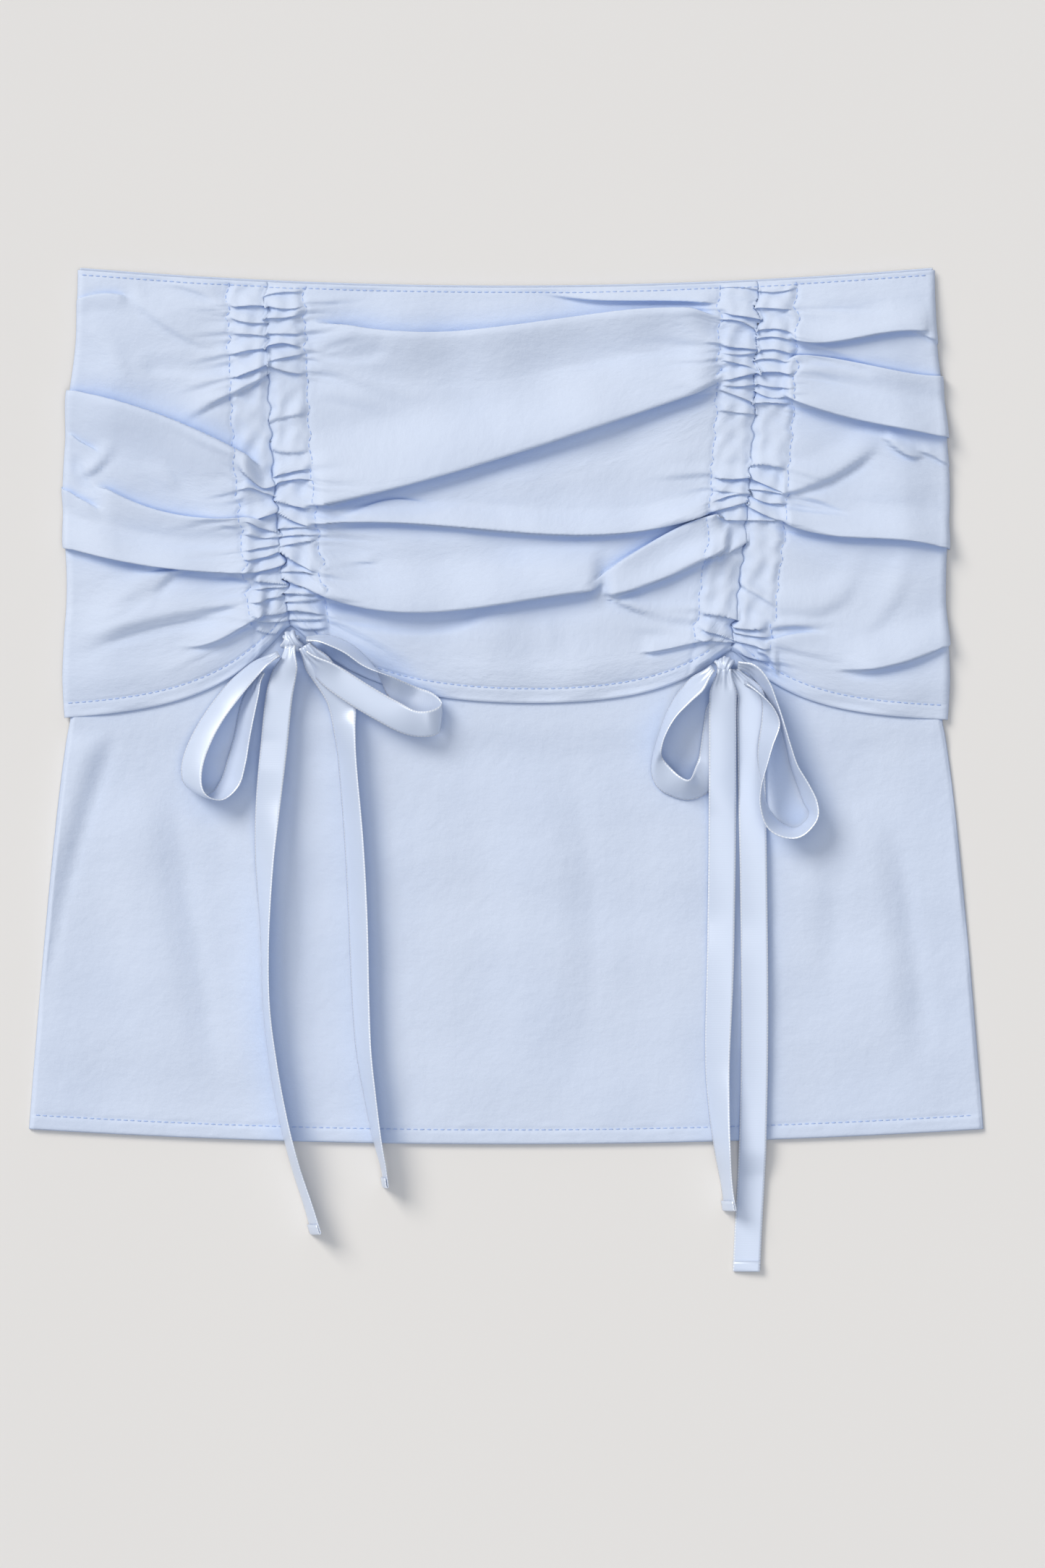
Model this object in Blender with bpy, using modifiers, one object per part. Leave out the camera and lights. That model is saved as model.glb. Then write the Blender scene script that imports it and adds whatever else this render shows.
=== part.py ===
"""Ruched mini skirt with two ribbon bows, laid flat on its back.

The skirt is four layers of cloth on each other: the back of the overlay, the back and the front of the
underskirt, and the three front panels of the overlay. The front panels meet at two drawstring channels.
Tables are in millimetres: x runs from the centre front to the viewer's right, and down runs from the
top of the waist towards the hem. Meshes are in metres, with +Y towards the waist and +Z up.
"""

import math
from typing import NamedTuple

import bmesh
import bpy
from mathutils import Vector

MM = 0.001

# Lengths and widths of the laid-out skirt
SKIRT_LENGTH = 376.3
WAIST_HALF_WIDTH = 184.0
OVERLAY_HALF_WIDTH = 189.6
UNDERSKIRT_INNER_HALF_WIDTH = 181.4
UNDERSKIRT_HALF_WIDTH_AT_OVERLAY = 187.2
UNDERSKIRT_HALF_WIDTH_AT_HEM = 204.9
WAIST_DIP = 7.7
WAIST_BACK_PEEK = 1.0
UNDERSKIRT_HEM_RISE_AT_SIDES = 6.5
OVERLAY_BACK_HEM_DOWN = 193.0
UNDERSKIRT_SHOWS_FROM = 196.0

# Walls and the heights of the layers
CLOTH = 1.0
BACK_CLOTH = 1.2
GAP = 0.3
UNDERSKIRT_BACK_FLOOR = BACK_CLOTH + GAP
UNDERSKIRT_FRONT_FLOOR = UNDERSKIRT_BACK_FLOOR + CLOTH + GAP
OVERLAY_FLOOR = UNDERSKIRT_FRONT_FLOOR + CLOTH + GAP
LAYER_STEP_FROM = 194.5
LAYER_STEP_TO = 210.5
OVERLAY_LOFT = 2.0
LOFT_EDGE = 26.0
OVERLAY_CORNER = 0.9

# Drawstring channels and their gathers
GATHER_RISE = 1.3
GATHER_REACH = 28.0
GATHER_EDGE = 6.0
CHANNEL_HALF_WIDTH = 16.5
CHANNEL_COLUMN = 5.5
PANEL_COLUMN = 11.5
PANEL_ROWS = 46

# Columns and rows of the underskirt's two layers, closer at the side fold and at the step
UNDERSKIRT_COLUMNS = [0.0, 8.0, 16.0, 24.0, 32.0, 42.0, 54.0, 80.0, 110.0, 140.0, 172.0, 205.0, 238.0,
                      270.0, 300.0, 330.0, 356.0, 384.0, 409.8]
UNDERSKIRT_ROWS = [0.0, 96.0, 194.5, 198.0, 202.0, 206.0, 210.5, 228.0, 248.0, 272.0, 300.0, 334.0,
                   SKIRT_LENGTH]

# Ribbon
RIBBON_WIDTH = 11.8
RIBBON = 1.0
RIBBON_STEP = 8.0
HEM_LANDING = 9.0
HEM_CLIMB = 5.0

FOLD_END_FADE = 0.16


class Channel(NamedTuple):
    """A drawstring channel: its seam at the waist and at the hem, and how the hem swags up to it."""

    top_x: float
    end_x: float
    end_down: float
    swag: float


class Gathered(NamedTuple):
    """A place on a channel: the share of its length above it, and the share of the cloth in that."""

    length: float
    cloth: float


class Fold(NamedTuple):
    """One fold of the laid cloth: its line, its height and its soft and steep sides.

    bow is how far the line's middle sags down from its chord. fall is 1 where the cloth drops
    steeply below the line and -1 where it drops above it.
    """

    name: str
    x_1: float
    down_1: float
    x_2: float
    down_2: float
    bow: float
    rise: float
    soft: float
    steep: float
    fall: int


class Station(NamedTuple):
    """One place along a ribbon: its centre, its height over the cloth, and which way its width lies.

    turn is the width's direction seen from above, in degrees from the viewer's right towards the
    waist. tilt is how far the width stands up from flat.
    """

    x: float
    down: float
    lift: float
    turn: float
    tilt: float


LEFT_CHANNEL = Channel(top_x=-103.0, end_x=-92.5, end_down=154.0, swag=31.0)
RIGHT_CHANNEL = Channel(top_x=108.0, end_x=96.5, end_down=164.5, swag=27.0)
LEFT_GATHERS = [Gathered(0.0, 0.0), Gathered(0.28, 0.22), Gathered(0.53, 0.33), Gathered(1.0, 1.0)]
RIGHT_GATHERS = [Gathered(0.0, 0.0), Gathered(0.36, 0.48), Gathered(0.50, 0.55), Gathered(0.66, 0.73),
                 Gathered(0.90, 0.84), Gathered(1.0, 1.0)]
UNGATHERED = [Gathered(0.0, 0.0), Gathered(1.0, 1.0)]
SIDE_HEM_DOWN = 195.2
CENTRE_HEM_DOWN = 189.5

OVERLAY_FOLDS = [
    Fold("left upper swag", -189, 55, -105, 87, -2, 5.5, 20, 4.5, -1),
    Fold("left side tuck", -184, 98, -168, 78, 3, 3.0, 10, 5.0, 1),
    Fold("left middle swag", -174, 96, -107, 109, 4, 3.6, 12, 4.0, -1),
    Fold("left lower swag", -188, 120, -106, 130, 3, 5.0, 13, 4.5, 1),
    Fold("left slanting ridge", -168, 147, -141, 129, 2, 2.6, 9, 6.0, 1),
    Fold("left hem swag", -136, 164, -104, 149, 2, 5.0, 13, 4.5, 1),
    Fold("centre tuck at waist", 12, 10, 88, 16, 2, 2.6, 6, 5.0, 1),
    Fold("centre upper swag", -86, 24, 90, 21, 6, 5.0, 19, 4.5, -1),
    Fold("centre long diagonal", -86, 103, 95, 49, 6, 7.5, 28, 6.0, 1),
    Fold("centre roll", -86, 111, 94, 103, 7, 4.5, 9, 4.5, 1),
    Fold("centre short diagonal", 36, 133, 94, 107, 0, 3.6, 9, 4.5, -1),
    Fold("centre lower swag", -86, 136, 42, 138, 9, 6.5, 20, 5.0, 1),
    Fold("centre lower right swag", 42, 143, 95, 120, 3, 4.5, 11, 4.5, 1),
    Fold("right waist swag", 120, 30, 184, 27, 2, 5.2, 12, 4.5, 1),
    Fold("right shallow swag", 120, 39, 187, 47, 0, 3.0, 10, 4.0, -1),
    Fold("right upper swag", 118, 55, 190, 73, 2, 5.4, 17, 4.5, 1),
    Fold("right slanting ridge", 118, 91, 164, 73, 3, 3.0, 10, 7.0, 1),
    Fold("right middle swag", 115, 99, 170, 92, -2, 3.2, 9, 4.0, 1),
    Fold("right lower swag", 116, 109, 190, 121, 3, 5.0, 13, 4.5, 1),
    Fold("right hem swag", 128, 177, 191, 161, 3, 4.4, 15, 5.5, 1),
]

UNDERSKIRT_FOLDS = [
    Fold("underskirt side fold", -201, 330, -172, 206, -2, 2.4, 16, 13.0, -1),
]

LEFT_LOOP_OUTER = [
    Station(-97.2, 166.2, 0.4, -58, 70),
    Station(-101.6, 168.4, 0.4, -45, 64),
    Station(-106.4, 171.2, 0.4, -22, 56),
    Station(-116.4, 181.2, 0.6, -8, 36),
    Station(-126.8, 195.6, 2.4, -4, 35),
    Station(-133.3, 209.6, 4.2, -4, 35),
    Station(-134.5, 219.8, 4.8, -8, 42),
    Station(-131.1, 225.7, 4.0, -16, 54),
    Station(-124.3, 227.2, 1.6, -20, 54),
    Station(-118.4, 221.3, 0.4, -18, 44),
    Station(-115.6, 212.7, 0.4, -12, 45),
    Station(-113.2, 201.8, 0.4, -2, 52),
    Station(-110.7, 189.4, 0.6, -2, 52),
    Station(-107.6, 179.5, 0.6, -4, 62),
    Station(-104.4, 173.9, 0.6, -10, 76),
]
LEFT_LOOP_INNER = [
    Station(-86.0, 165.4, 1.0, 40, 66),
    Station(-80.2, 171.2, 2.2, 40, 44),
    Station(-71.9, 177.4, 5.4, 40, 12),
    Station(-62.0, 184.0, 7.0, 45, 6),
    Station(-51.0, 190.4, 7.2, 50, 8),
    Station(-40.8, 195.4, 6.6, 74, 22),
    Station(-32.6, 195.8, 6.2, 86, 18),
    Station(-28.0, 193.0, 3.6, 86, 6),
    Station(-31.8, 188.6, 1.2, 86, 8),
    Station(-40.4, 185.4, 0.8, 76, 14),
    Station(-48.0, 181.0, 2.4, 68, 40),
    Station(-54.4, 174.4, 2.0, 62, 86),
    Station(-60.6, 169.4, 0.4, 58, 108),
    Station(-68.4, 163.4, 0.4, 60, 113),
    Station(-77.6, 159.8, 0.4, 84, 111),
    Station(-85.4, 160.0, 0.8, 92, 104),
]
LEFT_TAIL_OUTER = [
    Station(-93.2, 168.2, 0.4, 0, 66),
    Station(-95.4, 176.0, 0.4, 0, 36),
    Station(-97.4, 186.0, 0.4, 0, 6),
    Station(-99.4, 206.0, 0.4, 0, 8),
    Station(-102.0, 232.0, 0.4, 0, 26),
    Station(-103.4, 256.0, 0.4, 0, 48),
    Station(-103.2, 286.0, 0.4, 0, 71),
    Station(-102.6, 316.0, 0.4, 4, 75),
    Station(-99.6, 342.0, 0.4, 8, 73),
    Station(-95.2, 366.0, 0.4, 10, 72),
    Station(-90.2, 386.0, 0.6, 10, 71),
    Station(-85.0, 402.0, 0.4, 8, 70),
    Station(-81.4, 414.0, 0.4, 8, 68),
]
LEFT_TAIL_INNER = [
    Station(-73.6, 180.6, 0.4, 30, 10),
    Station(-70.2, 189.0, 0.4, 10, 16),
    Station(-69.4, 197.0, 0.4, 0, 34),
    Station(-68.0, 212.0, 0.4, 0, 48),
    Station(-65.2, 246.0, 0.4, 0, 46),
    Station(-63.4, 280.0, 0.4, 0, 46),
    Station(-62.4, 312.0, 0.4, 0, 50),
    Station(-61.0, 336.0, 0.4, 4, 56),
    Station(-58.2, 356.0, 0.4, 6, 64),
    Station(-55.2, 374.0, 0.4, 8, 72),
    Station(-52.6, 386.0, 0.6, 8, 78),
    Station(-51.4, 394.0, 0.4, 4, 80),
]
RIGHT_LOOP_INNER = [
    Station(88.6, 172.2, 0.8, -60, 66),
    Station(83.1, 177.6, 1.6, -53, 50),
    Station(76.0, 184.8, 1.6, -40, 56),
    Station(70.4, 192.6, 1.2, -26, 70),
    Station(66.4, 201.8, 0.8, 0, 78),
    Station(64.6, 208.8, 0.6, 40, 68),
    Station(64.6, 214.0, 0.6, 66, 36),
    Station(67.6, 218.8, 0.6, 64, 28),
    Station(72.6, 222.6, 0.6, 62, 40),
    Station(78.2, 224.0, 0.5, 84, 42),
    Station(84.0, 220.4, 0.5, 130, 20),
    Station(88.0, 212.6, 0.3, 166, 2),
    Station(90.0, 200.2, 0.3, 172, 0),
    Station(91.6, 188.0, 0.3, 176, 0),
    Station(92.2, 180.6, 0.3, 180, 0),
]
RIGHT_LOOP_OUTER = [
    Station(99.2, 170.6, 0.4, 88, 62),
    Station(104.8, 172.4, 0.4, 70, 62),
    Station(110.6, 178.8, 0.4, 42, 70),
    Station(114.4, 186.3, 0.4, 30, 78),
    Station(117.8, 195.6, 2.0, 20, 82),
    Station(120.6, 204.9, 2.4, 20, 82),
    Station(123.4, 214.2, 2.2, 20, 78),
    Station(127.1, 222.0, 2.0, 10, 68),
    Station(130.2, 229.4, 1.8, 0, 62),
    Station(131.4, 235.8, 1.6, -30, 72),
    Station(126.5, 241.6, 1.4, -60, 70),
    Station(120.9, 242.4, 1.2, -88, 64),
    Station(114.1, 238.8, 2.4, -130, 60),
    Station(110.2, 231.2, 3.6, -165, 73),
    Station(109.4, 222.9, 4.2, -180, 84),
    Station(109.8, 212.7, 4.4, -184, 108),
    Station(111.0, 204.9, 4.0, -186, 120),
    Station(113.2, 195.6, 3.6, -190, 130),
    Station(111.9, 187.9, 3.6, -210, 116),
    Station(107.9, 182.6, 3.4, -230, 108),
    Station(102.4, 178.6, 3.0, -240, 106),
]
RIGHT_TAIL_INNER = [
    Station(93.0, 178.4, 2.6, 0, -4),
    Station(92.7, 190.0, 2.6, 0, -6),
    Station(92.7, 206.0, 2.6, 0, -6),
    Station(92.7, 222.0, 2.4, 0, -6),
    Station(92.7, 240.0, 0.6, 0, 2),
    Station(92.5, 262.0, 0.4, 0, 8),
    Station(91.8, 300.0, 0.4, 0, 12),
    Station(90.6, 338.0, 0.4, 0, 28),
    Station(91.2, 360.0, 0.4, 4, 42),
    Station(92.6, 378.0, 0.6, 6, 56),
    Station(94.6, 394.0, 0.4, 6, 68),
    Station(96.0, 404.0, 0.4, 6, 66),
]
RIGHT_TAIL_OUTER = [
    Station(104.4, 182.0, 0.5, 0, 0),
    Station(104.8, 192.0, 0.4, 0, 0),
    Station(105.2, 214.0, 0.3, 0, 0),
    Station(105.6, 234.0, 0.3, 0, 2),
    Station(106.0, 256.0, 0.4, 0, 10),
    Station(106.5, 300.0, 0.4, 0, 12),
    Station(106.5, 338.0, 0.4, 0, 12),
    Station(105.9, 370.0, 0.4, 0, 10),
    Station(105.2, 390.0, 0.5, 0, 8),
    Station(104.0, 412.0, 0.4, 0, 6),
    Station(103.2, 430.4, 0.4, 0, 6),
]

# Knots: centre x, centre down, width, length, height
LEFT_KNOT = (-91.8, 160.9, 8.0, 9.4, 7.6)
RIGHT_KNOT = (93.6, 170.9, 7.4, 8.0, 7.4)


def smooth(value):
    """Ease from 0 to 1 as value goes from 0 to 1."""
    value = min(max(value, 0.0), 1.0)
    return value * value * (3.0 - 2.0 * value)


def to_world(x, down, z):
    """Turn a place on the skirt, in millimetres, into metres."""
    return Vector((x * MM, (SKIRT_LENGTH / 2 - down) * MM, z * MM))


def waist_down(x):
    """The front waist edge, which dips towards the centre."""
    return WAIST_BACK_PEEK + WAIST_DIP * (1.0 - (x / WAIST_HALF_WIDTH) ** 2)


def back_waist_down(x):
    """The back waist edge, which peeks out above the front one."""
    return waist_down(x) - WAIST_BACK_PEEK


def overlay_side(down):
    """Half the overlay's width at a distance below the waist."""
    flare = smooth((down - 25.0) / 40.0)
    wave = math.sin(down * math.tau / 78.0) * 0.9 * smooth(down / 40.0)
    return WAIST_HALF_WIDTH + (OVERLAY_HALF_WIDTH - WAIST_HALF_WIDTH) * flare + wave


def channel_x(channel, down):
    """The channel's seam at a distance below the waist."""
    share = down / channel.end_down
    return channel.top_x + (channel.end_x - channel.top_x) * share * share


def swag_down(x, channel, low):
    """How far the hem is drawn up beside a channel."""
    away = math.hypot(x - channel.end_x, 2.0) - 2.0
    return (low - channel.end_down) * math.exp(-away / channel.swag)


def side_hem_left(x):
    """The overlay's hem on the left side panel."""
    return SIDE_HEM_DOWN - swag_down(x, LEFT_CHANNEL, SIDE_HEM_DOWN)


def side_hem_right(x):
    """The overlay's hem on the right side panel."""
    return SIDE_HEM_DOWN - swag_down(x, RIGHT_CHANNEL, SIDE_HEM_DOWN)


def centre_hem(x):
    """The overlay's hem on the centre panel, drawn up at both of its channels."""
    drawn = swag_down(x, LEFT_CHANNEL, CENTRE_HEM_DOWN) + swag_down(x, RIGHT_CHANNEL, CENTRE_HEM_DOWN)
    return CENTRE_HEM_DOWN - drawn


def underskirt_side(down):
    """Half the underskirt's width: just inside the overlay, then flaring to its own hem."""
    if down < UNDERSKIRT_SHOWS_FROM:
        share = down / UNDERSKIRT_SHOWS_FROM
        return UNDERSKIRT_INNER_HALF_WIDTH + share * (
            UNDERSKIRT_HALF_WIDTH_AT_OVERLAY - UNDERSKIRT_INNER_HALF_WIDTH)
    share = (down - UNDERSKIRT_SHOWS_FROM) / (SKIRT_LENGTH - UNDERSKIRT_HEM_RISE_AT_SIDES
                                              - UNDERSKIRT_SHOWS_FROM)
    flare = UNDERSKIRT_HALF_WIDTH_AT_HEM - UNDERSKIRT_HALF_WIDTH_AT_OVERLAY
    return UNDERSKIRT_HALF_WIDTH_AT_OVERLAY + flare * min(share, 1.0) ** 0.75


def underskirt_hem(x):
    """The underskirt's hem, lowest at the centre."""
    return SKIRT_LENGTH - UNDERSKIRT_HEM_RISE_AT_SIDES * (x / UNDERSKIRT_HALF_WIDTH_AT_HEM) ** 2


def fold_rise(fold, x, down):
    """The height that one fold adds at a place."""
    chord = math.hypot(fold.x_2 - fold.x_1, fold.down_2 - fold.down_1)
    along_x = (fold.x_2 - fold.x_1) / chord
    along_down = (fold.down_2 - fold.down_1) / chord
    share = ((x - fold.x_1) * along_x + (down - fold.down_1) * along_down) / chord
    if not 0.0 < share < 1.0:
        return 0.0
    below = (down - fold.down_1) * along_x - (x - fold.x_1) * along_down
    below -= 4.0 * fold.bow * share * (1.0 - share)
    past = below * fold.fall
    side = fold.steep if past > 0.0 else fold.soft
    ends = smooth(share / FOLD_END_FADE) * smooth((1.0 - share) / FOLD_END_FADE)
    return fold.rise * ends * (1.0 - smooth(abs(past) / side))


def folds_rise(folds, x, down):
    """The height of all folds at a place: the tallest one, with a little of the others."""
    heights = [fold_rise(fold, x, down) for fold in folds]
    tallest = max(heights)
    return tallest + 0.35 * (sum(heights) - tallest)


def overlay_hem(x, down):
    """The hem of the overlay's panel that a place is on."""
    if x < channel_x(LEFT_CHANNEL, down):
        return side_hem_left(x)
    if x > channel_x(RIGHT_CHANNEL, down):
        return side_hem_right(x)
    return centre_hem(x)


def overlay_floor(x, down, gathered):
    """The underside of an overlay front panel; gathered is 1 on a gather and 0 between gathers."""
    to_seam = min(abs(x - channel_x(LEFT_CHANNEL, down)), abs(x - channel_x(RIGHT_CHANNEL, down)))
    from_waist = down - waist_down(x)
    from_hem = overlay_hem(x, down) - down
    inland = smooth(from_waist / GATHER_EDGE) * smooth(from_hem / GATHER_EDGE)
    loft = OVERLAY_LOFT * smooth(from_waist / LOFT_EDGE) * smooth(from_hem / LOFT_EDGE)
    gather = GATHER_RISE * gathered * (1.0 - smooth(to_seam / GATHER_REACH)) * inland
    folds = folds_rise(OVERLAY_FOLDS, x, down) * inland
    return OVERLAY_FLOOR + loft + gather + folds


def step_down(down):
    """1 over the overlay's back and 0 past its hem, where the underskirt reaches the surface."""
    return 1.0 - smooth((down - LAYER_STEP_FROM) / (LAYER_STEP_TO - LAYER_STEP_FROM))


def underskirt_back_floor(x, down):
    """The underside of the underskirt's back."""
    return UNDERSKIRT_BACK_FLOOR * step_down(down)


def underskirt_front_floor(x, down):
    """The underside of the underskirt's front, with its soft fold at the side."""
    low = CLOTH + GAP
    flat = low + (UNDERSKIRT_FRONT_FLOOR - low) * step_down(down)
    return flat + folds_rise(UNDERSKIRT_FOLDS, x, down)


def new_object(name, mesh_source, material):
    """Turn a bmesh into a named object in the skirt's collection."""
    mesh = bpy.data.meshes.new(name)
    mesh_source.to_mesh(mesh)
    mesh_source.free()
    mesh.materials.append(material)
    made = bpy.data.objects.new(name, mesh)
    bpy.data.collections["skirt"].objects.link(made)
    return made


def new_material(name, colour, roughness):
    """A cloth finish with the garment's colour and roughness."""
    material = bpy.data.materials.new(name)
    material.use_nodes = True
    shader = material.node_tree.nodes["Principled BSDF"]
    shader.inputs["Base Color"].default_value = (*colour, 1.0)
    shader.inputs["Roughness"].default_value = roughness
    shader.inputs["Metallic"].default_value = 0.0
    return material


def thicken(sheet_mesh, thickness, columns, rows, seams):
    """Give an open sheet its wall: a copy of it is moved out along the points' normals.

    A point on the waist or the hem stays on it, and so does one on a seam. seams holds the columns
    that lie on one. The rim between the two closes the wall.
    """
    sheet_mesh.normal_update()
    column_of = sheet_mesh.verts.layers.int["column"]
    row_of = sheet_mesh.verts.layers.int["row"]
    moves = {}
    for vertex in sheet_mesh.verts:
        move = vertex.normal * thickness * MM
        if vertex[column_of] in seams:
            move.x = 0.0
        if vertex[row_of] in (0, rows):
            move.y = 0.0
        moves[vertex[column_of], vertex[row_of]] = move
    made = bmesh.ops.extrude_face_region(sheet_mesh, geom=sheet_mesh.faces[:])
    for vertex in made["geom"]:
        if isinstance(vertex, bmesh.types.BMVert):
            vertex.co += moves[vertex[column_of], vertex[row_of]]
    bmesh.ops.recalc_face_normals(sheet_mesh, faces=sheet_mesh.faces)


def even_steps(start, end, step):
    """Places from start to end, about one step apart."""
    count = max(1, round((end - start) / step))
    return [start + (end - start) * index / count for index in range(count + 1)]


def panel_columns(width, channel_left, channel_right):
    """Shares of a panel's width for its columns, closer together in the channels."""
    left = CHANNEL_HALF_WIDTH if channel_left else 0.0
    right = CHANNEL_HALF_WIDTH if channel_right else 0.0
    places = even_steps(left, width - right, PANEL_COLUMN)
    if channel_left:
        places = even_steps(0.0, left, CHANNEL_COLUMN)[:-1] + places
    if channel_right:
        places = places + even_steps(width - right, width, CHANNEL_COLUMN)[1:]
    return [place / width for place in places]


def sheet(columns, rows, place):
    """A grid whose points go where place(column, row) says, facing up."""
    grid = bmesh.new()
    bmesh.ops.create_grid(grid, x_segments=columns, y_segments=rows, size=1.0)
    column_of = grid.verts.layers.int.new("column")
    row_of = grid.verts.layers.int.new("row")
    for vertex in grid.verts:
        vertex[column_of] = round((vertex.co.x + 1.0) / 2.0 * columns)
        vertex[row_of] = rows - round((vertex.co.y + 1.0) / 2.0 * rows)
        vertex.co = place(vertex[column_of], vertex[row_of])
    return grid


def length_share(gathers, cloth):
    """How far down a channel a share of its cloth lies."""
    for above, below in zip(gathers, gathers[1:]):
        if cloth <= below.cloth:
            step = (cloth - above.cloth) / (below.cloth - above.cloth)
            return above.length + (below.length - above.length) * step
    return 1.0


def settle(across, along, left, right, top, bottom):
    """Find the place at given shares of a panel whose four edges are all curves."""
    x, down = 0.0, 100.0
    for _ in range(8):
        x = left(down) + (right(down) - left(down)) * across
        down = top(x) + (bottom(x) - top(x)) * along
    return x, down


def build_overlay_front(name, left, right, hem, gathers_left, gathers_right, material):
    """One front panel of the overlay, gathered at its channels and curled down at its side seam."""
    seam_left, seam_right = gathers_left is not UNGATHERED, gathers_right is not UNGATHERED
    width = right(0.0) - left(0.0)
    shares = panel_columns(width, seam_left, seam_right)
    # A side wall takes two more columns, at its rounded corner and at its foot
    shares = ([] if seam_left else [0.0, 0.0]) + shares + ([] if seam_right else [1.0, 1.0])
    last = len(shares) - 1
    seams = ([0] if seam_left else []) + ([last] if seam_right else [])

    def place(column, row):
        cloth = row / PANEL_ROWS
        start, end = length_share(gathers_left, cloth), length_share(gathers_right, cloth)
        along = start + (end - start) * shares[column]
        x, down = settle(shares[column], along, left, right, waist_down, hem)
        z = overlay_floor(x, down, row % 2)
        inward, from_side = (1.0, column) if seam_right and not seam_left else (-1.0, last - column)
        if seam_left and seam_right or from_side > 2:
            return to_world(x, down, z)
        foot_x = x + inward * CLOTH
        if from_side == 0:
            return to_world(foot_x, down, BACK_CLOTH + GAP)
        if from_side == 1:
            return to_world(foot_x, down, OVERLAY_FLOOR - OVERLAY_CORNER)
        return to_world(foot_x + inward * OVERLAY_CORNER, down, OVERLAY_FLOOR)

    wall = sheet(last, PANEL_ROWS, place)
    thicken(wall, CLOTH, last, PANEL_ROWS, seams)
    return new_object(name, wall, material)


def build_flat_layer(name, side, top, bottom, floor, thickness, columns, rows, material):
    """A layer that lies flat: a grid inside its side, waist and hem curves.

    columns and rows are shares of its width and of its length.
    """
    def place(column, row):
        x, down = settle(columns[column], rows[row], lambda low: -side(low), side, top, bottom)
        return to_world(x, down, floor(x, down))

    last_column, last_row = len(columns) - 1, len(rows) - 1
    wall = sheet(last_column, last_row, place)
    thicken(wall, thickness, last_column, last_row, (0, last_column))
    return new_object(name, wall, material)


def cloth_under(x, down):
    """The height of the cloth that a ribbon lies on, or of the surface past the hem."""
    past_hem = smooth((down - underskirt_hem(x) - 1.5) / HEM_LANDING)
    low = (underskirt_front_floor(x, down) + CLOTH) * (1.0 - past_hem)
    hem = overlay_hem(x, down)
    high = overlay_floor(x, min(down, hem), 1) + CLOTH
    return low + (high - low) * smooth((hem - down) / HEM_CLIMB + 1.0)


def spline(stations, share):
    """A smooth curve through the stations, read at a share of their count."""
    where = share * (len(stations) - 1)
    index = min(int(where), len(stations) - 2)
    step = where - index
    before = stations[max(index - 1, 0)]
    start, end = stations[index], stations[index + 1]
    after = stations[min(index + 2, len(stations) - 1)]
    return Station(*[
        0.5 * (2 * p + (q - o) * step + (2 * o - 5 * p + 4 * q - r) * step ** 2
               + (3 * p - o - 3 * q + r) * step ** 3)
        for o, p, q, r in zip(before, start, end, after)
    ])


def ribbon_frame(stations, share):
    """The centre of a ribbon and half its width as a vector, at a share of its stations."""
    station = spline(stations, share)
    turn, tilt = math.radians(station.turn), math.radians(station.tilt)
    half = Vector((math.cos(tilt) * math.cos(turn), math.cos(tilt) * math.sin(turn),
                   math.sin(tilt))) * RIBBON_WIDTH / 2
    ground = max(cloth_under(station.x + half.x * side, station.down - half.y * side)
                 for side in (-1.1, -0.5, 0.0, 0.5, 1.1))
    z = ground + station.lift + abs(half.z) + RIBBON / 2
    return to_world(station.x, station.down, z), half * MM


def build_ribbon(name, stations, material):
    """A flat ribbon along its stations."""
    length = sum(math.dist(a[:2], b[:2]) for a, b in zip(stations, stations[1:]))
    rows = round(length / RIBBON_STEP)

    def place(column, row):
        centre, half = ribbon_frame(stations, row / rows)
        return centre + half * (column * 2 - 1)

    made = new_object(name, sheet(1, rows, place), material)
    wall = made.modifiers.new("wall", "SOLIDIFY")
    wall.thickness = RIBBON * MM
    wall.offset = 0.0
    return made


def build_knot(name, knot, material):
    """The rounded knot at the middle of a bow."""
    x, down, width, length, height = knot
    ball = bmesh.new()
    bmesh.ops.create_uvsphere(ball, u_segments=12, v_segments=8, radius=1.0)
    floor = cloth_under(x, down) + GAP
    for vertex in ball.verts:
        reach = vertex.co.copy()
        vertex.co = to_world(x + reach.x * width / 2, down - reach.y * length / 2,
                             floor + height / 2 + reach.z * height / 2)
    return new_object(name, ball, material)


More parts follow.
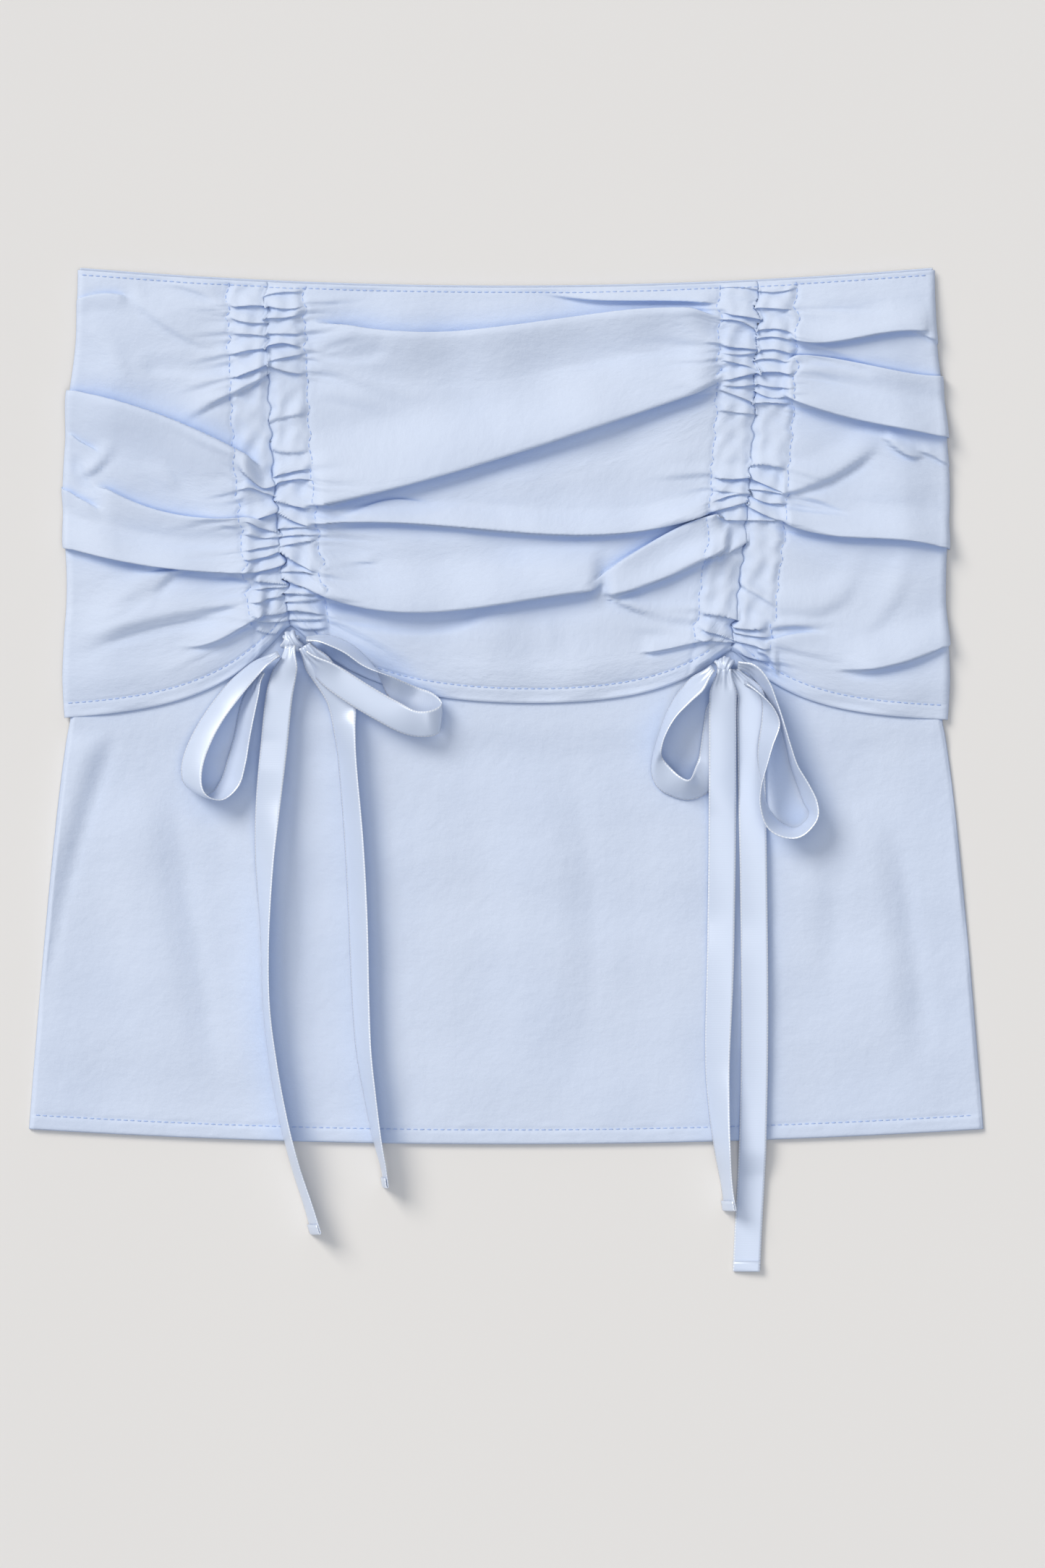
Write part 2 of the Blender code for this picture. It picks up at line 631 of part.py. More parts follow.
def main():
    """Build every piece of the skirt."""
    for old in list(bpy.data.objects):
        bpy.data.objects.remove(old)
    bpy.context.scene.collection.children.link(bpy.data.collections.new("skirt"))
    cloth = new_material("pale blue crepe", (0.60, 0.67, 0.79), 0.65)
    satin = new_material("pale blue satin ribbon", (0.53, 0.63, 0.79), 0.32)

    half_gap = GAP / 2
    build_overlay_front("overlay_side_front_left", lambda down: -overlay_side(down),
                        lambda down: channel_x(LEFT_CHANNEL, down) - half_gap,
                        side_hem_left, UNGATHERED, LEFT_GATHERS, cloth)
    build_overlay_front("overlay_centre_front",
                        lambda down: channel_x(LEFT_CHANNEL, down) + half_gap,
                        lambda down: channel_x(RIGHT_CHANNEL, down) - half_gap,
                        centre_hem, LEFT_GATHERS, RIGHT_GATHERS, cloth)
    build_overlay_front("overlay_side_front_right",
                        lambda down: channel_x(RIGHT_CHANNEL, down) + half_gap,
                        overlay_side, side_hem_right, RIGHT_GATHERS, UNGATHERED, cloth)

    wide = [place / (2 * UNDERSKIRT_HALF_WIDTH_AT_HEM) for place in UNDERSKIRT_COLUMNS]
    long = [place / SKIRT_LENGTH for place in UNDERSKIRT_ROWS]
    build_flat_layer("overlay_back", overlay_side, back_waist_down, lambda x: OVERLAY_BACK_HEM_DOWN,
                     lambda x, down: 0.0, BACK_CLOTH, even_steps(0.0, 1.0, 1 / 12),
                     even_steps(0.0, 1.0, 1 / 16), cloth)
    build_flat_layer("underskirt_back", underskirt_side, waist_down, underskirt_hem,
                     underskirt_back_floor, CLOTH, wide, long, cloth)
    build_flat_layer("underskirt_front", underskirt_side, waist_down, underskirt_hem,
                     underskirt_front_floor, CLOTH, wide, long, cloth)

    build_knot("left_bow_knot", LEFT_KNOT, satin)
    build_ribbon("left_bow_loop_outer", LEFT_LOOP_OUTER, satin)
    build_ribbon("left_bow_loop_inner", LEFT_LOOP_INNER, satin)
    build_ribbon("left_tail_outer", LEFT_TAIL_OUTER, satin)
    build_ribbon("left_tail_inner", LEFT_TAIL_INNER, satin)
    build_knot("right_bow_knot", RIGHT_KNOT, satin)
    build_ribbon("right_bow_loop_inner", RIGHT_LOOP_INNER, satin)
    build_ribbon("right_bow_loop_outer", RIGHT_LOOP_OUTER, satin)
    build_ribbon("right_tail_inner", RIGHT_TAIL_INNER, satin)
    build_ribbon("right_tail_outer", RIGHT_TAIL_OUTER, satin)


main()
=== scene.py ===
"""Looks of a ruched mini skirt with two ribbon bows, laid flat on its back.

Places on the skirt are given in millimetres, as in its solids: x runs from the centre front to the
viewer's right, and down runs from the top of the waist towards the hem. Meshes are in metres.
"""

import logging
import math
import random
from dataclasses import dataclass
from enum import Enum
from typing import Any, Callable, NamedTuple

import bmesh
import bpy
import numpy as np
from mathutils import Matrix, Vector

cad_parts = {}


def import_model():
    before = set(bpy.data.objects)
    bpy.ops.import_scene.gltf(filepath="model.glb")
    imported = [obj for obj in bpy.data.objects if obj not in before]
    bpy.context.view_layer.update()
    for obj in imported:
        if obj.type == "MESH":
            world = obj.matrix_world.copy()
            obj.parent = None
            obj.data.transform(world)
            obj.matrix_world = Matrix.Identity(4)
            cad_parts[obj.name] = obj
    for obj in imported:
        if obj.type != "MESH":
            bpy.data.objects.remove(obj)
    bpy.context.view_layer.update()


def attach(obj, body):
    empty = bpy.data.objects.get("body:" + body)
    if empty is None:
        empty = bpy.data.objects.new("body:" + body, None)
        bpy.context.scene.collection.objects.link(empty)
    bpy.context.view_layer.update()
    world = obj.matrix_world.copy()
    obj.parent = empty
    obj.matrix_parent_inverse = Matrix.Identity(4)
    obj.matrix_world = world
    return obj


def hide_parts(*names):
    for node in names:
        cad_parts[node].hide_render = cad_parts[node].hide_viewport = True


Array = np.ndarray
Edge = Callable[[Array], Array]

MM = 0.001
WAVE_LENGTH_AT_SCALE_1 = math.tau / 20
LOG = logging.getLogger("skirt")

# How a fold is shaped: its drop as a share of its steep width, how far its crest stands behind its
# foot as a share of that drop, how far its hollow reaches as a share of its soft width, and the
# crease that cloth tucked in above a fold leaves.
DROP_SHARE = 0.6
CREST_BACK = 0.8
HOLLOW_REACH_ABOVE = 0.6
HOLLOW_REACH_BELOW = 0.3
CREASE_SHARE = 0.8
CREASE_WIDTH = 0.9
LEAN_ABOVE = 1.8

# How settle finds a place: rounds, and the distance below the waist that it starts from.
SETTLE_ROUNDS = 10
SETTLE_FROM = 100.0


def smooth(value: Array) -> Array:
    """Ease from 0 to 1 as value goes from 0 to 1."""
    value = np.clip(value, 0.0, 1.0)
    return value * value * (3.0 - 2.0 * value)


def groove(away: Array, half_width: float) -> Array:
    """A groove's share of its depth at a distance from its line."""
    return np.exp(-((away / half_width) ** 2))


def linear_colour(code: str) -> tuple[float, float, float, float]:
    """Turn an sRGB hex colour into a linear one.

    Args:
        code: six hex digits after a hash sign.

    Returns:
        Red, green, blue and an alpha of 1.
    """
    parts = [int(code[start:start + 2], 16) / 255 for start in (1, 3, 5)]
    red, green, blue = (part / 12.92 if part <= 0.04045 else ((part + 0.055) / 1.055) ** 2.4
                        for part in parts)
    return red, green, blue, 1.0


def add_node(tree: bpy.types.NodeTree, kind: str, settings: dict[str, Any] | None = None,
             inputs: dict[Any, Any] | None = None) -> bpy.types.Node:
    """Add a node with its settings, its values and its links.

    Args:
        tree: the tree that gets the node.
        kind: the node's type.
        settings: values of the node's own properties.
        inputs: a value or an output socket for each input's name or number.

    Returns:
        The new node.
    """
    node = tree.nodes.new(kind)
    for name, value in (settings or {}).items():
        setattr(node, name, value)
    for name, value in (inputs or {}).items():
        if isinstance(value, bpy.types.NodeSocket):
            tree.links.new(value, node.inputs[name])
        else:
            node.inputs[name].default_value = value
    return node


def new_finish(name: str, values: dict[str, float]
               ) -> tuple[bpy.types.Material, bpy.types.NodeTree, bpy.types.Node]:
    """Start a material.

    Args:
        name: the material's name.
        values: the value of each of its shader's inputs that differs from the usual.

    Returns:
        The material, its node tree and its shader.
    """
    material = bpy.data.materials.new(name)
    material.use_nodes = True
    tree = material.node_tree
    shader = tree.nodes["Principled BSDF"]
    for socket, value in values.items():
        shader.inputs[socket].default_value = value
    return material, tree, shader


def new_object(name: str, data: bpy.types.ID) -> bpy.types.Object:
    """Make an object of a mesh, a light or a camera and link it to the scene."""
    made = bpy.data.objects.new(name, data)
    bpy.context.scene.collection.objects.link(made)
    return made


def new_shape(name: str, shape: bmesh.types.BMesh, finish: bpy.types.Material) -> bpy.types.Object:
    """Turn a bmesh into an object.

    Args:
        name: the object's name.
        shape: its shape, which is used up.
        finish: its material.

    Returns:
        The object.
    """
    mesh = bpy.data.meshes.new(name)
    shape.to_mesh(mesh)
    shape.free()
    mesh.materials.append(finish)
    return new_object(name, mesh)


def add_wall(piece: bpy.types.Object, thickness: float) -> None:
    """Give a thin piece a wall on its underside, in millimetres."""
    wall = piece.modifiers.new("wall", "SOLIDIFY")
    wall.thickness, wall.offset = thickness * MM, -1.0


@dataclass(frozen=True)
class CrepeFinish:
    """Light cotton crepe: woven and washed, so it is matt, with faint slubs and small crinkles.

    Light that bounces between folds of blue cloth turns bluer, and folds lie in shade, so a folded crepe
    is tinted with its hollow colour where its surroundings close in: painted shade for that bounced
    light and shade. Slubs are drawn wide enough to show in a render.
    """

    name: str = "washed cotton crepe"
    thread: str = "#D1DAEA"
    shade: str = "#C9D4E8"
    # Painted shade: hollow is the darker, bluer colour that the crepe is mixed towards in its folds and
    # creases, as far out as the reach below; folded says whether this painted shade is drawn.
    hollow: str = "#A6BEE6"
    painted_shade_reach_mm: float = 15.0
    folded: bool = True
    roughness: float = 0.82
    sheen: float = 0.15
    specular: float = 0.3
    slub_width_mm: float = 1.1
    slub_length_mm: float = 7.0
    slub_depth_mm: float = 0.12
    crinkle_mm: float = 8.0
    crinkle_depth_mm: float = 1.1
    cloud_mm: float = 70.0

    def build(self) -> bpy.types.Material:
        """Build the material; its slubs run across the cloth.

        Returns:
            The material.
        """
        material, tree, shader = new_finish(self.name, {
            "Roughness": self.roughness, "Sheen Weight": self.sheen, "Sheen Roughness": 0.5,
            "Specular IOR Level": self.specular})
        uv = add_node(tree, "ShaderNodeUVMap", {"uv_map": "cloth"})
        place = add_node(tree, "ShaderNodeTexCoord")
        cloud = add_node(tree, "ShaderNodeTexNoise", inputs={
            "Vector": place.outputs["Object"], "Scale": 1 / (self.cloud_mm * MM), "Detail": 2.0})
        colour = add_node(tree, "ShaderNodeMix", {"data_type": "RGBA"}, {
            "Factor": cloud.outputs["Fac"], "A": linear_colour(self.thread),
            "B": linear_colour(self.shade)})
        # Painted shade: where ambient occlusion finds the surroundings close in, the colour is mixed
        # towards the hollow colour.
        if self.folded:
            painted_shade_openness = add_node(tree, "ShaderNodeAmbientOcclusion", {"samples": 8}, {
                "Distance": self.painted_shade_reach_mm * MM})
            colour = add_node(tree, "ShaderNodeMix", {"data_type": "RGBA"}, {
                "Factor": painted_shade_openness.outputs["AO"], "A": linear_colour(self.hollow),
                "B": colour.outputs["Result"]})
        tree.links.new(colour.outputs["Result"], shader.inputs["Base Color"])
        across = add_node(tree, "ShaderNodeMapping", inputs={
            "Vector": uv.outputs["UV"],
            "Scale": (1 / (self.slub_length_mm * MM), 1 / (self.slub_width_mm * MM), 1.0)})
        slubs = add_node(tree, "ShaderNodeTexNoise", inputs={
            "Vector": across.outputs["Vector"], "Scale": 1.0, "Detail": 3.0})
        crinkles = add_node(tree, "ShaderNodeTexNoise", inputs={
            "Vector": uv.outputs["UV"], "Scale": 1 / (self.crinkle_mm * MM), "Detail": 4.0,
            "Roughness": 0.6})
        fine = add_node(tree, "ShaderNodeBump", inputs={
            "Height": slubs.outputs["Fac"], "Strength": 0.35, "Distance": self.slub_depth_mm * MM})
        coarse = add_node(tree, "ShaderNodeBump", inputs={
            "Height": crinkles.outputs["Fac"], "Strength": 0.5,
            "Distance": self.crinkle_depth_mm * MM, "Normal": fine.outputs["Normal"]})
        tree.links.new(coarse.outputs["Normal"], shader.inputs["Normal"])
        return material


@dataclass(frozen=True)
class SatinFinish:
    """Woven satin ribbon: long floats give it broad soft highlights, and its selvedges are dotted."""

    name: str = "woven satin ribbon"
    face: str = "#CDD8EB"
    selvedge: str = "#F2F6FD"
    roughness: float = 0.36
    metallic: float = 0.1
    specular: float = 1.0
    sheen: float = 0.1
    selvedge_share: float = 0.055
    picot_mm: float = 1.3
    picot_swing: float = 0.35
    picot_level: float = 0.6
    rib_mm: float = 1.0
    rib_share: float = 0.12
    relief_mm: float = 0.2

    def build(self) -> bpy.types.Material:
        """Build the material; u runs across the ribbon from 0 to 1 and v along it in metres.

        Returns:
            The material.
        """
        material, tree, shader = new_finish(self.name, {
            "Roughness": self.roughness, "Metallic": self.metallic, "Sheen Weight": self.sheen,
            "Specular IOR Level": self.specular})
        uv = add_node(tree, "ShaderNodeUVMap", {"uv_map": "cloth"})
        parts = add_node(tree, "ShaderNodeSeparateXYZ", inputs={0: uv.outputs["UV"]})
        off_centre = add_node(tree, "ShaderNodeMath", {"operation": "SUBTRACT"},
                              {0: parts.outputs["X"], 1: 0.5})
        to_middle = add_node(tree, "ShaderNodeMath", {"operation": "ABSOLUTE"},
                             {0: off_centre.outputs[0]})
        on_selvedge = add_node(tree, "ShaderNodeMath", {"operation": "GREATER_THAN"},
                               {0: to_middle.outputs[0], 1: 0.5 - self.selvedge_share})
        turns = add_node(tree, "ShaderNodeMath", {"operation": "MULTIPLY"},
                         {0: parts.outputs["Y"], 1: math.tau / (self.picot_mm * MM)})
        picots = add_node(tree, "ShaderNodeMath", {"operation": "SINE"}, {0: turns.outputs[0]})
        dots = add_node(tree, "ShaderNodeMath", {"operation": "MULTIPLY_ADD"},
                        {0: picots.outputs[0], 1: self.picot_swing, 2: self.picot_level})
        edge = add_node(tree, "ShaderNodeMath", {"operation": "MULTIPLY"},
                        {0: dots.outputs[0], 1: on_selvedge.outputs[0]})
        colour = add_node(tree, "ShaderNodeMix", {"data_type": "RGBA"}, {
            "Factor": edge.outputs[0], "A": linear_colour(self.face),
            "B": linear_colour(self.selvedge)})
        tree.links.new(colour.outputs["Result"], shader.inputs["Base Color"])
        ribs = add_node(tree, "ShaderNodeTexWave", {"bands_direction": "Y"}, {
            "Vector": uv.outputs["UV"], "Scale": WAVE_LENGTH_AT_SCALE_1 / (self.rib_mm * MM)})
        height = add_node(tree, "ShaderNodeMath", {"operation": "MULTIPLY_ADD"},
                          {0: ribs.outputs["Fac"], 1: self.rib_share, 2: edge.outputs[0]})
        bump = add_node(tree, "ShaderNodeBump", inputs={
            "Height": height.outputs[0], "Strength": 0.4, "Distance": self.relief_mm * MM})
        tree.links.new(bump.outputs["Normal"], shader.inputs["Normal"])
        return material


@dataclass(frozen=True)
class PlainFinish:
    """An even finish with faint mottling: sewing thread, or the painted table."""

    name: str
    colour: str
    roughness: float
    mottle_mm: float
    darkest: float = 0.97

    def build(self) -> bpy.types.Material:
        """Build the material, a little darker and lighter from place to place.

        Returns:
            The material.
        """
        material, tree, shader = new_finish(self.name, {"Roughness": self.roughness})
        place = add_node(tree, "ShaderNodeTexCoord")
        noise = add_node(tree, "ShaderNodeTexNoise", inputs={
            "Vector": place.outputs["Object"], "Scale": 1 / (self.mottle_mm * MM)})
        darker = tuple(part * self.darkest for part in linear_colour(self.colour)[:3])
        colour = add_node(tree, "ShaderNodeMix", {"data_type": "RGBA"}, {
            "Factor": noise.outputs["Fac"], "A": linear_colour(self.colour), "B": (*darker, 1.0)})
        tree.links.new(colour.outputs["Result"], shader.inputs["Base Color"])
        return material


class Drop(Enum):
    """The side on which a fold's cloth drops steeply: below or above its line."""

    BELOW = 1
    ABOVE = -1


@dataclass(frozen=True)
class Fold:
    """One fold of the laid cloth, in millimetres.

    line holds the places along the foot of its steep side, two to four of them. An upright fold runs
    down the skirt, and BELOW then means to the right of it. fade is the share of its length over
    which it rises at its start and sinks at its end. lean is how far its crest leans over its foot,
    as a share of its height, and hollow is how deep the cloth dips past its foot, as such a share.
    """

    name: str
    line: tuple[tuple[float, float], ...]
    rise: float
    soft: float
    steep: float
    drop: Drop = Drop.BELOW
    fade: tuple[float, float] = (0.15, 0.15)
    lean: float = 0.4
    upright: bool = False
    hollow: float = 0.22

    def __post_init__(self) -> None:
        """Check that the line runs one way, as its height across is worked out from how far along."""
        along = [place[0] for place in self.foot()]
        if along != sorted(along):
            raise ValueError(f"the line of the fold {self.name} runs back on itself")

    def oriented(self, x: Array, down: Array) -> tuple[Array, Array]:
        """Swap the two directions where the fold is upright: along it and across it."""
        return (down, x) if self.upright else (x, down)

    def foot(self) -> list[tuple[float, float]]:
        """The line's places, each as how far along and how far across it lies."""
        return [(place[1], place[0]) if self.upright else place for place in self.line]

    def near(self, x: Array, down: Array) -> Array:
        """Pick the places that the fold can reach.

        Args:
            x: places to the viewer's right.
            down: the same places' distances below the waist.

        Returns:
            True for each place in reach.
        """
        along, across = self.oriented(x, down)
        places = self.foot()
        margin = max(self.soft, self.steep) * 1.5 + 2.0
        low = min(place[1] for place in places) - margin
        high = max(place[1] for place in places) + margin
        return (along > places[0][0]) & (along < places[-1][0]) & (across > low) & (across < high)

    def height(self, x: Array, down: Array) -> tuple[Array, Array]:
        """Work out the fold's section at each place.

        Args:
            x: places to the viewer's right.
            down: the same places' distances below the waist.

        Returns:
            The height that the fold adds and the depth that its hollow takes, in millimetres.
        """
        along, across = self.oriented(x, down)
        places = self.foot()
        first, last = places[0][0], places[-1][0]
        shares = [(place[0] - first) / (last - first) for place in places]
        curve = np.polyfit(shares, [place[1] for place in places], len(places) - 1)
        share = (along - first) / (last - first)
        slope = np.polyval(np.polyder(curve), share) / (last - first)
        past = (across - np.polyval(curve, share)) / np.sqrt(1.0 + slope ** 2) * self.drop.value
        steep = self.steep * DROP_SHARE
        past = past + steep * CREST_BACK
        side = np.where(past > 0.0, steep, self.soft)
        ends = smooth(share / max(self.fade[0], 0.001)) * smooth(
            (1.0 - share) / max(self.fade[1], 0.001))
        height = self.rise * ends * (1.0 - smooth(np.abs(past) / side))
        above = self.drop is Drop.ABOVE
        reach = self.soft * (HOLLOW_REACH_ABOVE if above else HOLLOW_REACH_BELOW)
        beyond = (past - steep) / max(reach, 1.0)
        dip = np.where(beyond > 0.0, 1.0 - smooth(beyond), smooth(1.0 + beyond * 2.5))
        if above:
            dip = dip + CREASE_SHARE * groove(past - steep, CREASE_WIDTH)
        return height, self.hollow * max(self.rise, 0.0) * ends * dip


class Relief(NamedTuple):
    """What folds do at each place: the height they add and how far they pull it, in millimetres."""

    height: Array
    pull_x: Array
    pull_down: Array


def relief(folds: list[Fold], x: Array, down: Array) -> Relief:
    """Join folds into one relief, in which the highest fold at a place rules.

    Args:
        folds: the folds; one with a negative rise is a hollow and is added on its own.
        x: places to the viewer's right.
        down: the same places' distances below the waist.

    Returns:
        The relief at those places.
    """
    cubes, pull_x, pull_down, hollows = (np.zeros_like(x) for _ in range(4))
    for fold in folds:
        near = fold.near(x, down)
        if not near.any():
            continue
        height, dip = fold.height(x[near], down[near])
        hollows[near] -= dip
        if fold.rise < 0.0:
            hollows[near] += height
            continue
        cubes[near] += height ** 3
        pull = pull_x if fold.upright else pull_down
        lean = fold.lean * (LEAN_ABOVE if fold.drop is Drop.ABOVE else 1.0)
        pull[near] += lean * fold.drop.value * height ** 3
    ridge = np.cbrt(cubes)
    share = ridge / np.maximum(cubes, 1e-9)
    return Relief(ridge + hollows, pull_x * share, pull_down * share)


@dataclass(frozen=True)
class Ripples:
    """Gentle waves that no fold accounts for, as handled cloth has."""

    seed: int
    height: float
    shortest: float
    longest: float
    count: int = 9

    def rise(self, x: Array, down: Array) -> Array:
        """Add up the waves.

        Args:
            x: places to the viewer's right.
            down: the same places' distances below the waist.

        Returns:
            Their height at each place, in millimetres.
        """
        draw = random.Random(self.seed)
        total = np.zeros_like(x)
        for _ in range(self.count):
            length = draw.uniform(self.shortest, self.longest)
            heading = draw.uniform(0.0, math.pi)
            phase = draw.uniform(0.0, math.tau)
            across = x * math.cos(heading) + down * math.sin(heading)
            total = total + np.sin(across * math.tau / length + phase)
        return total * self.height / math.sqrt(self.count)


@dataclass(frozen=True)
class Turning:
    """A turned and topstitched edge, in millimetres: raised a little as far in as its stitches."""

    stitch: float
    rise: float
    stitch_depth: float
    stitch_width: float
    edge_drop: float
    edge_width: float
    band_edge: float = 0.9

    def shape(self, inwards: Array) -> Array:
        """Work out the turning's section.

        Args:
            inwards: distances inwards from its edge.

        Returns:
            The height that it adds at each.
        """
        band = 1.0 - smooth((inwards - self.stitch) / self.band_edge + 0.5)
        dip = self.stitch_depth * groove(inwards - self.stitch, self.stitch_width)
        return self.rise * band - dip - self.edge_drop * (1.0 - smooth(inwards / self.edge_width))


@dataclass(frozen=True)
class Channel:
    """A drawstring channel: its seam, its two casings and the gathers it draws up, in millimetres.

    length_shares says how far down the channel each of cloth_shares lies, where its cloth is drawn
    up unevenly. swag is how far from the channel the hem is drawn up, wander how far a gather pushes
    the seam aside, and far the distance at which the cloth lies as it would ungathered. A gather's
    rise is given as its least and what its strength adds, and other pairs are a least and a most.
    """

    top_x: float
    end_x: float
    end_down: float
    swag: float
    length_shares: tuple[float, ...]
    cloth_shares: tuple[float, ...]
    left_gathers: list[tuple[float, float, float, float]]
    right_gathers: list[tuple[float, float, float, float]]
    seed: int
    casing: float = 16.5
    wander: float = 1.7
    far: float = 92.0
    sway: float = 0.3
    sway_length: float = 10.5
    short_sway: float = 0.16
    short_sway_length: float = 5.9
    jog_width: float = 1.6
    flow_ease: float = 0.6
    flow_spread: float = 0.08
    gather_rise: tuple[float, float] = (0.4, 2.3)
    gather_width: tuple[float, float] = (2.4, 6.0)
    gather_steep: float = 0.9
    wrinkled_from: float = 0.45
    wrinkle_reach: tuple[float, float] = (13.0, 38.0)
    wrinkle_rise: tuple[float, float] = (0.2, 1.1)
    wrinkle_step: tuple[float, float] = (4.0, 7.0)
    wrinkle_width: tuple[float, float] = (3.0, 7.5)
    wrinkle_steep: tuple[float, float] = (3.0, 5.0)

    def line(self, down: Array) -> Array:
        """Where the seam would run without its gathers."""
        return self.top_x + (self.end_x - self.top_x) * (down / self.end_down) ** 2

    def jog(self, down: Array) -> Array:
        """Find how the gathers push the seam, each away from its own side, as it sways.

        Args:
            down: distances below the waist.

        Returns:
            How far to the right the seam is pushed there.
        """
        pushed = self.sway * np.sin(down * math.tau / self.sway_length + self.seed)
        pushed = pushed + self.short_sway * np.sin(down * math.tau / self.short_sway_length)
        for side, gathers in ((1.0, self.left_gathers), (-1.0, self.right_gathers)):
            for _, _, at_seam, strength in gathers:
                pushed = pushed + side * strength * groove(down - at_seam, self.jog_width)
        return pushed * self.wander * smooth((self.end_down - down) / 12.0) * smooth(down / 6.0)

    def seam(self, down: Array) -> Array:
        """The seam between the two casings."""
        down = np.asarray(down, dtype=float)
        return self.line(down) + self.jog(down)

    def drawn_up(self, x: Array, low: float) -> Array:
        """How far the channel draws up a hem that would lie at low."""
        away = np.hypot(x - self.end_x, 2.0) - 2.0
        return (low - self.end_down) * np.exp(-away / self.swag)

    def gathers(self, side: int, hem: float) -> list[Fold]:
        """Small folds that run out of the seam on one side, where the cloth is drawn together.

        Args:
            side: -1 for the viewer's left of the seam, 1 for the right.
            hem: how far down the far edge of that panel reaches.

        Returns:
            A fold for each gather.
        """
        draw = random.Random(self.seed * 10 + side)
        folds, previous = [], 0.0
        for at_stitch, midway, at_seam, strength in (
                self.right_gathers if side > 0 else self.left_gathers):
            seam = float(self.seam(at_seam)) - side * 1.0
            cloth = float(np.interp(at_stitch / self.end_down, self.length_shares, self.cloth_shares))
            flow = (cloth * hem - at_stitch) / self.far * self.flow_ease
            flow = flow + draw.uniform(-self.flow_spread, self.flow_spread)
            flow = 0.5 * flow + 0.5 * (at_stitch - midway) / self.casing * 2.0
            reach, stitch = draw.uniform(*self.wrinkle_reach), seam + side * self.casing
            inside = [(seam, at_seam), (seam + side * self.casing * 0.5, midway),
                      (stitch + side * 2.5, at_stitch)]
            folds.append(Fold(
                name="gather", line=tuple(inside[::side]), steep=self.gather_steep,
                rise=self.gather_rise[0] + self.gather_rise[1] * strength,
                soft=float(np.clip(midway - previous + 0.6, *self.gather_width)),
                fade=(0.03, 0.3)[::side], lean=0.5, hollow=0.1))
            for share in (1.0, 0.5) if strength > self.wrinkled_from else ():
                start = at_stitch + (1.0 - share) * draw.uniform(*self.wrinkle_step)
                beyond = [(stitch - side * 3.0, start - flow * 3.0),
                          (stitch + side * reach * share * 0.4, start + flow * reach * share * 0.3),
                          (stitch + side * reach * share, start + flow * reach * share)]
                least, added = self.wrinkle_rise
                folds.append(Fold(
                    name="wrinkle", line=tuple(beyond[::side]),
                    rise=least + share * (least + added * strength),
                    soft=draw.uniform(*self.wrinkle_width) * math.sqrt(share),
                    steep=draw.uniform(*self.wrinkle_steep), fade=(0.15, 0.85)[::side], lean=0.2))
            previous = midway
        return folds


# Gathers of each casing: how far down each lies at the stitching, midway and at the seam, and its size.
LEFT_OUTER_GATHERS = [
    (17.6, 16.3, 16.6, 0.80), (21.1, 23.9, 23.7, 0.60), (29.1, 29.0, 30.3, 0.50),
    (38.8, 35.7, 34.7, 0.70), (48.5, 44.0, 41.1, 1.00), (56.0, 51.5, 45.0, 0.50),
    (86.3, 94.3, 92.8, 0.80), (98.0, 96.4, 98.6, 0.50), (109.8, 107.0, 103.9, 1.00),
    (111.4, 112.4, 114.5, 0.70), (115.8, 116.3, 115.4, 0.40), (121.2, 120.2, 118.6, 0.60),
    (123.1, 124.4, 121.0, 0.70), (130.5, 129.0, 125.9, 1.00), (133.1, 135.2, 135.4, 0.80),
    (138.0, 137.4, 137.0, 0.60), (143.2, 142.1, 140.6, 0.60), (147.0, 148.9, 147.0, 0.80),
    (150.9, 152.2, 150.9, 0.60), (154.1, 157.1, 155.4, 0.50),
]
LEFT_INNER_GATHERS = [
    (11.4, 10.9, 12.7, 0.40), (16.6, 17.9, 16.1, 0.60), (20.2, 21.8, 21.8, 0.60),
    (28.9, 28.7, 28.6, 0.50), (36.3, 32.3, 34.7, 0.90), (36.9, 38.8, 40.6, 0.60),
    (45.8, 44.7, 41.9, 0.60), (63.1, 64.6, 67.0, 0.25), (78.2, 79.9, 78.1, 0.35),
    (86.3, 87.9, 90.2, 0.70), (91.2, 91.0, 93.1, 0.70), (103.9, 101.6, 99.5, 0.90),
    (111.7, 108.6, 104.4, 0.90), (112.2, 111.7, 112.4, 0.50), (115.3, 114.8, 115.5, 0.60),
    (116.3, 118.4, 119.4, 0.60), (130.3, 126.4, 121.2, 0.90), (131.0, 130.5, 130.3, 0.60),
    (139.3, 136.2, 132.8, 0.80), (140.1, 139.9, 139.3, 0.80), (141.4, 143.2, 143.2, 0.60),
    (149.4, 147.6, 146.8, 0.80), (150.7, 151.2, 150.9, 0.60), (154.1, 155.4, 154.1, 0.40),
]
RIGHT_INNER_GATHERS = [
    (9.3, 8.8, 10.1, 0.35), (19.6, 20.9, 22.3, 0.90), (23.6, 23.1, 27.9, 0.70),
    (33.6, 34.4, 35.1, 0.90), (36.4, 37.6, 36.3, 0.50), (40.1, 41.7, 44.4, 0.70),
    (49.2, 46.5, 44.4, 0.90), (50.0, 51.1, 49.8, 0.60), (51.7, 55.2, 58.7, 0.60),
    (61.6, 62.7, 63.5, 0.30), (89.7, 90.5, 89.5, 0.90), (95.6, 96.4, 96.3, 0.60),
    (101.3, 97.5, 97.1, 0.70), (105.3, 102.6, 100.3, 0.70), (107.7, 108.4, 108.5, 0.60),
    (124.7, 122.0, 117.2, 0.70), (148.2, 149.5, 151.1, 0.80), (153.6, 157.1, 159.8, 0.80),
    (158.4, 160.4, 160.6, 0.60),
]
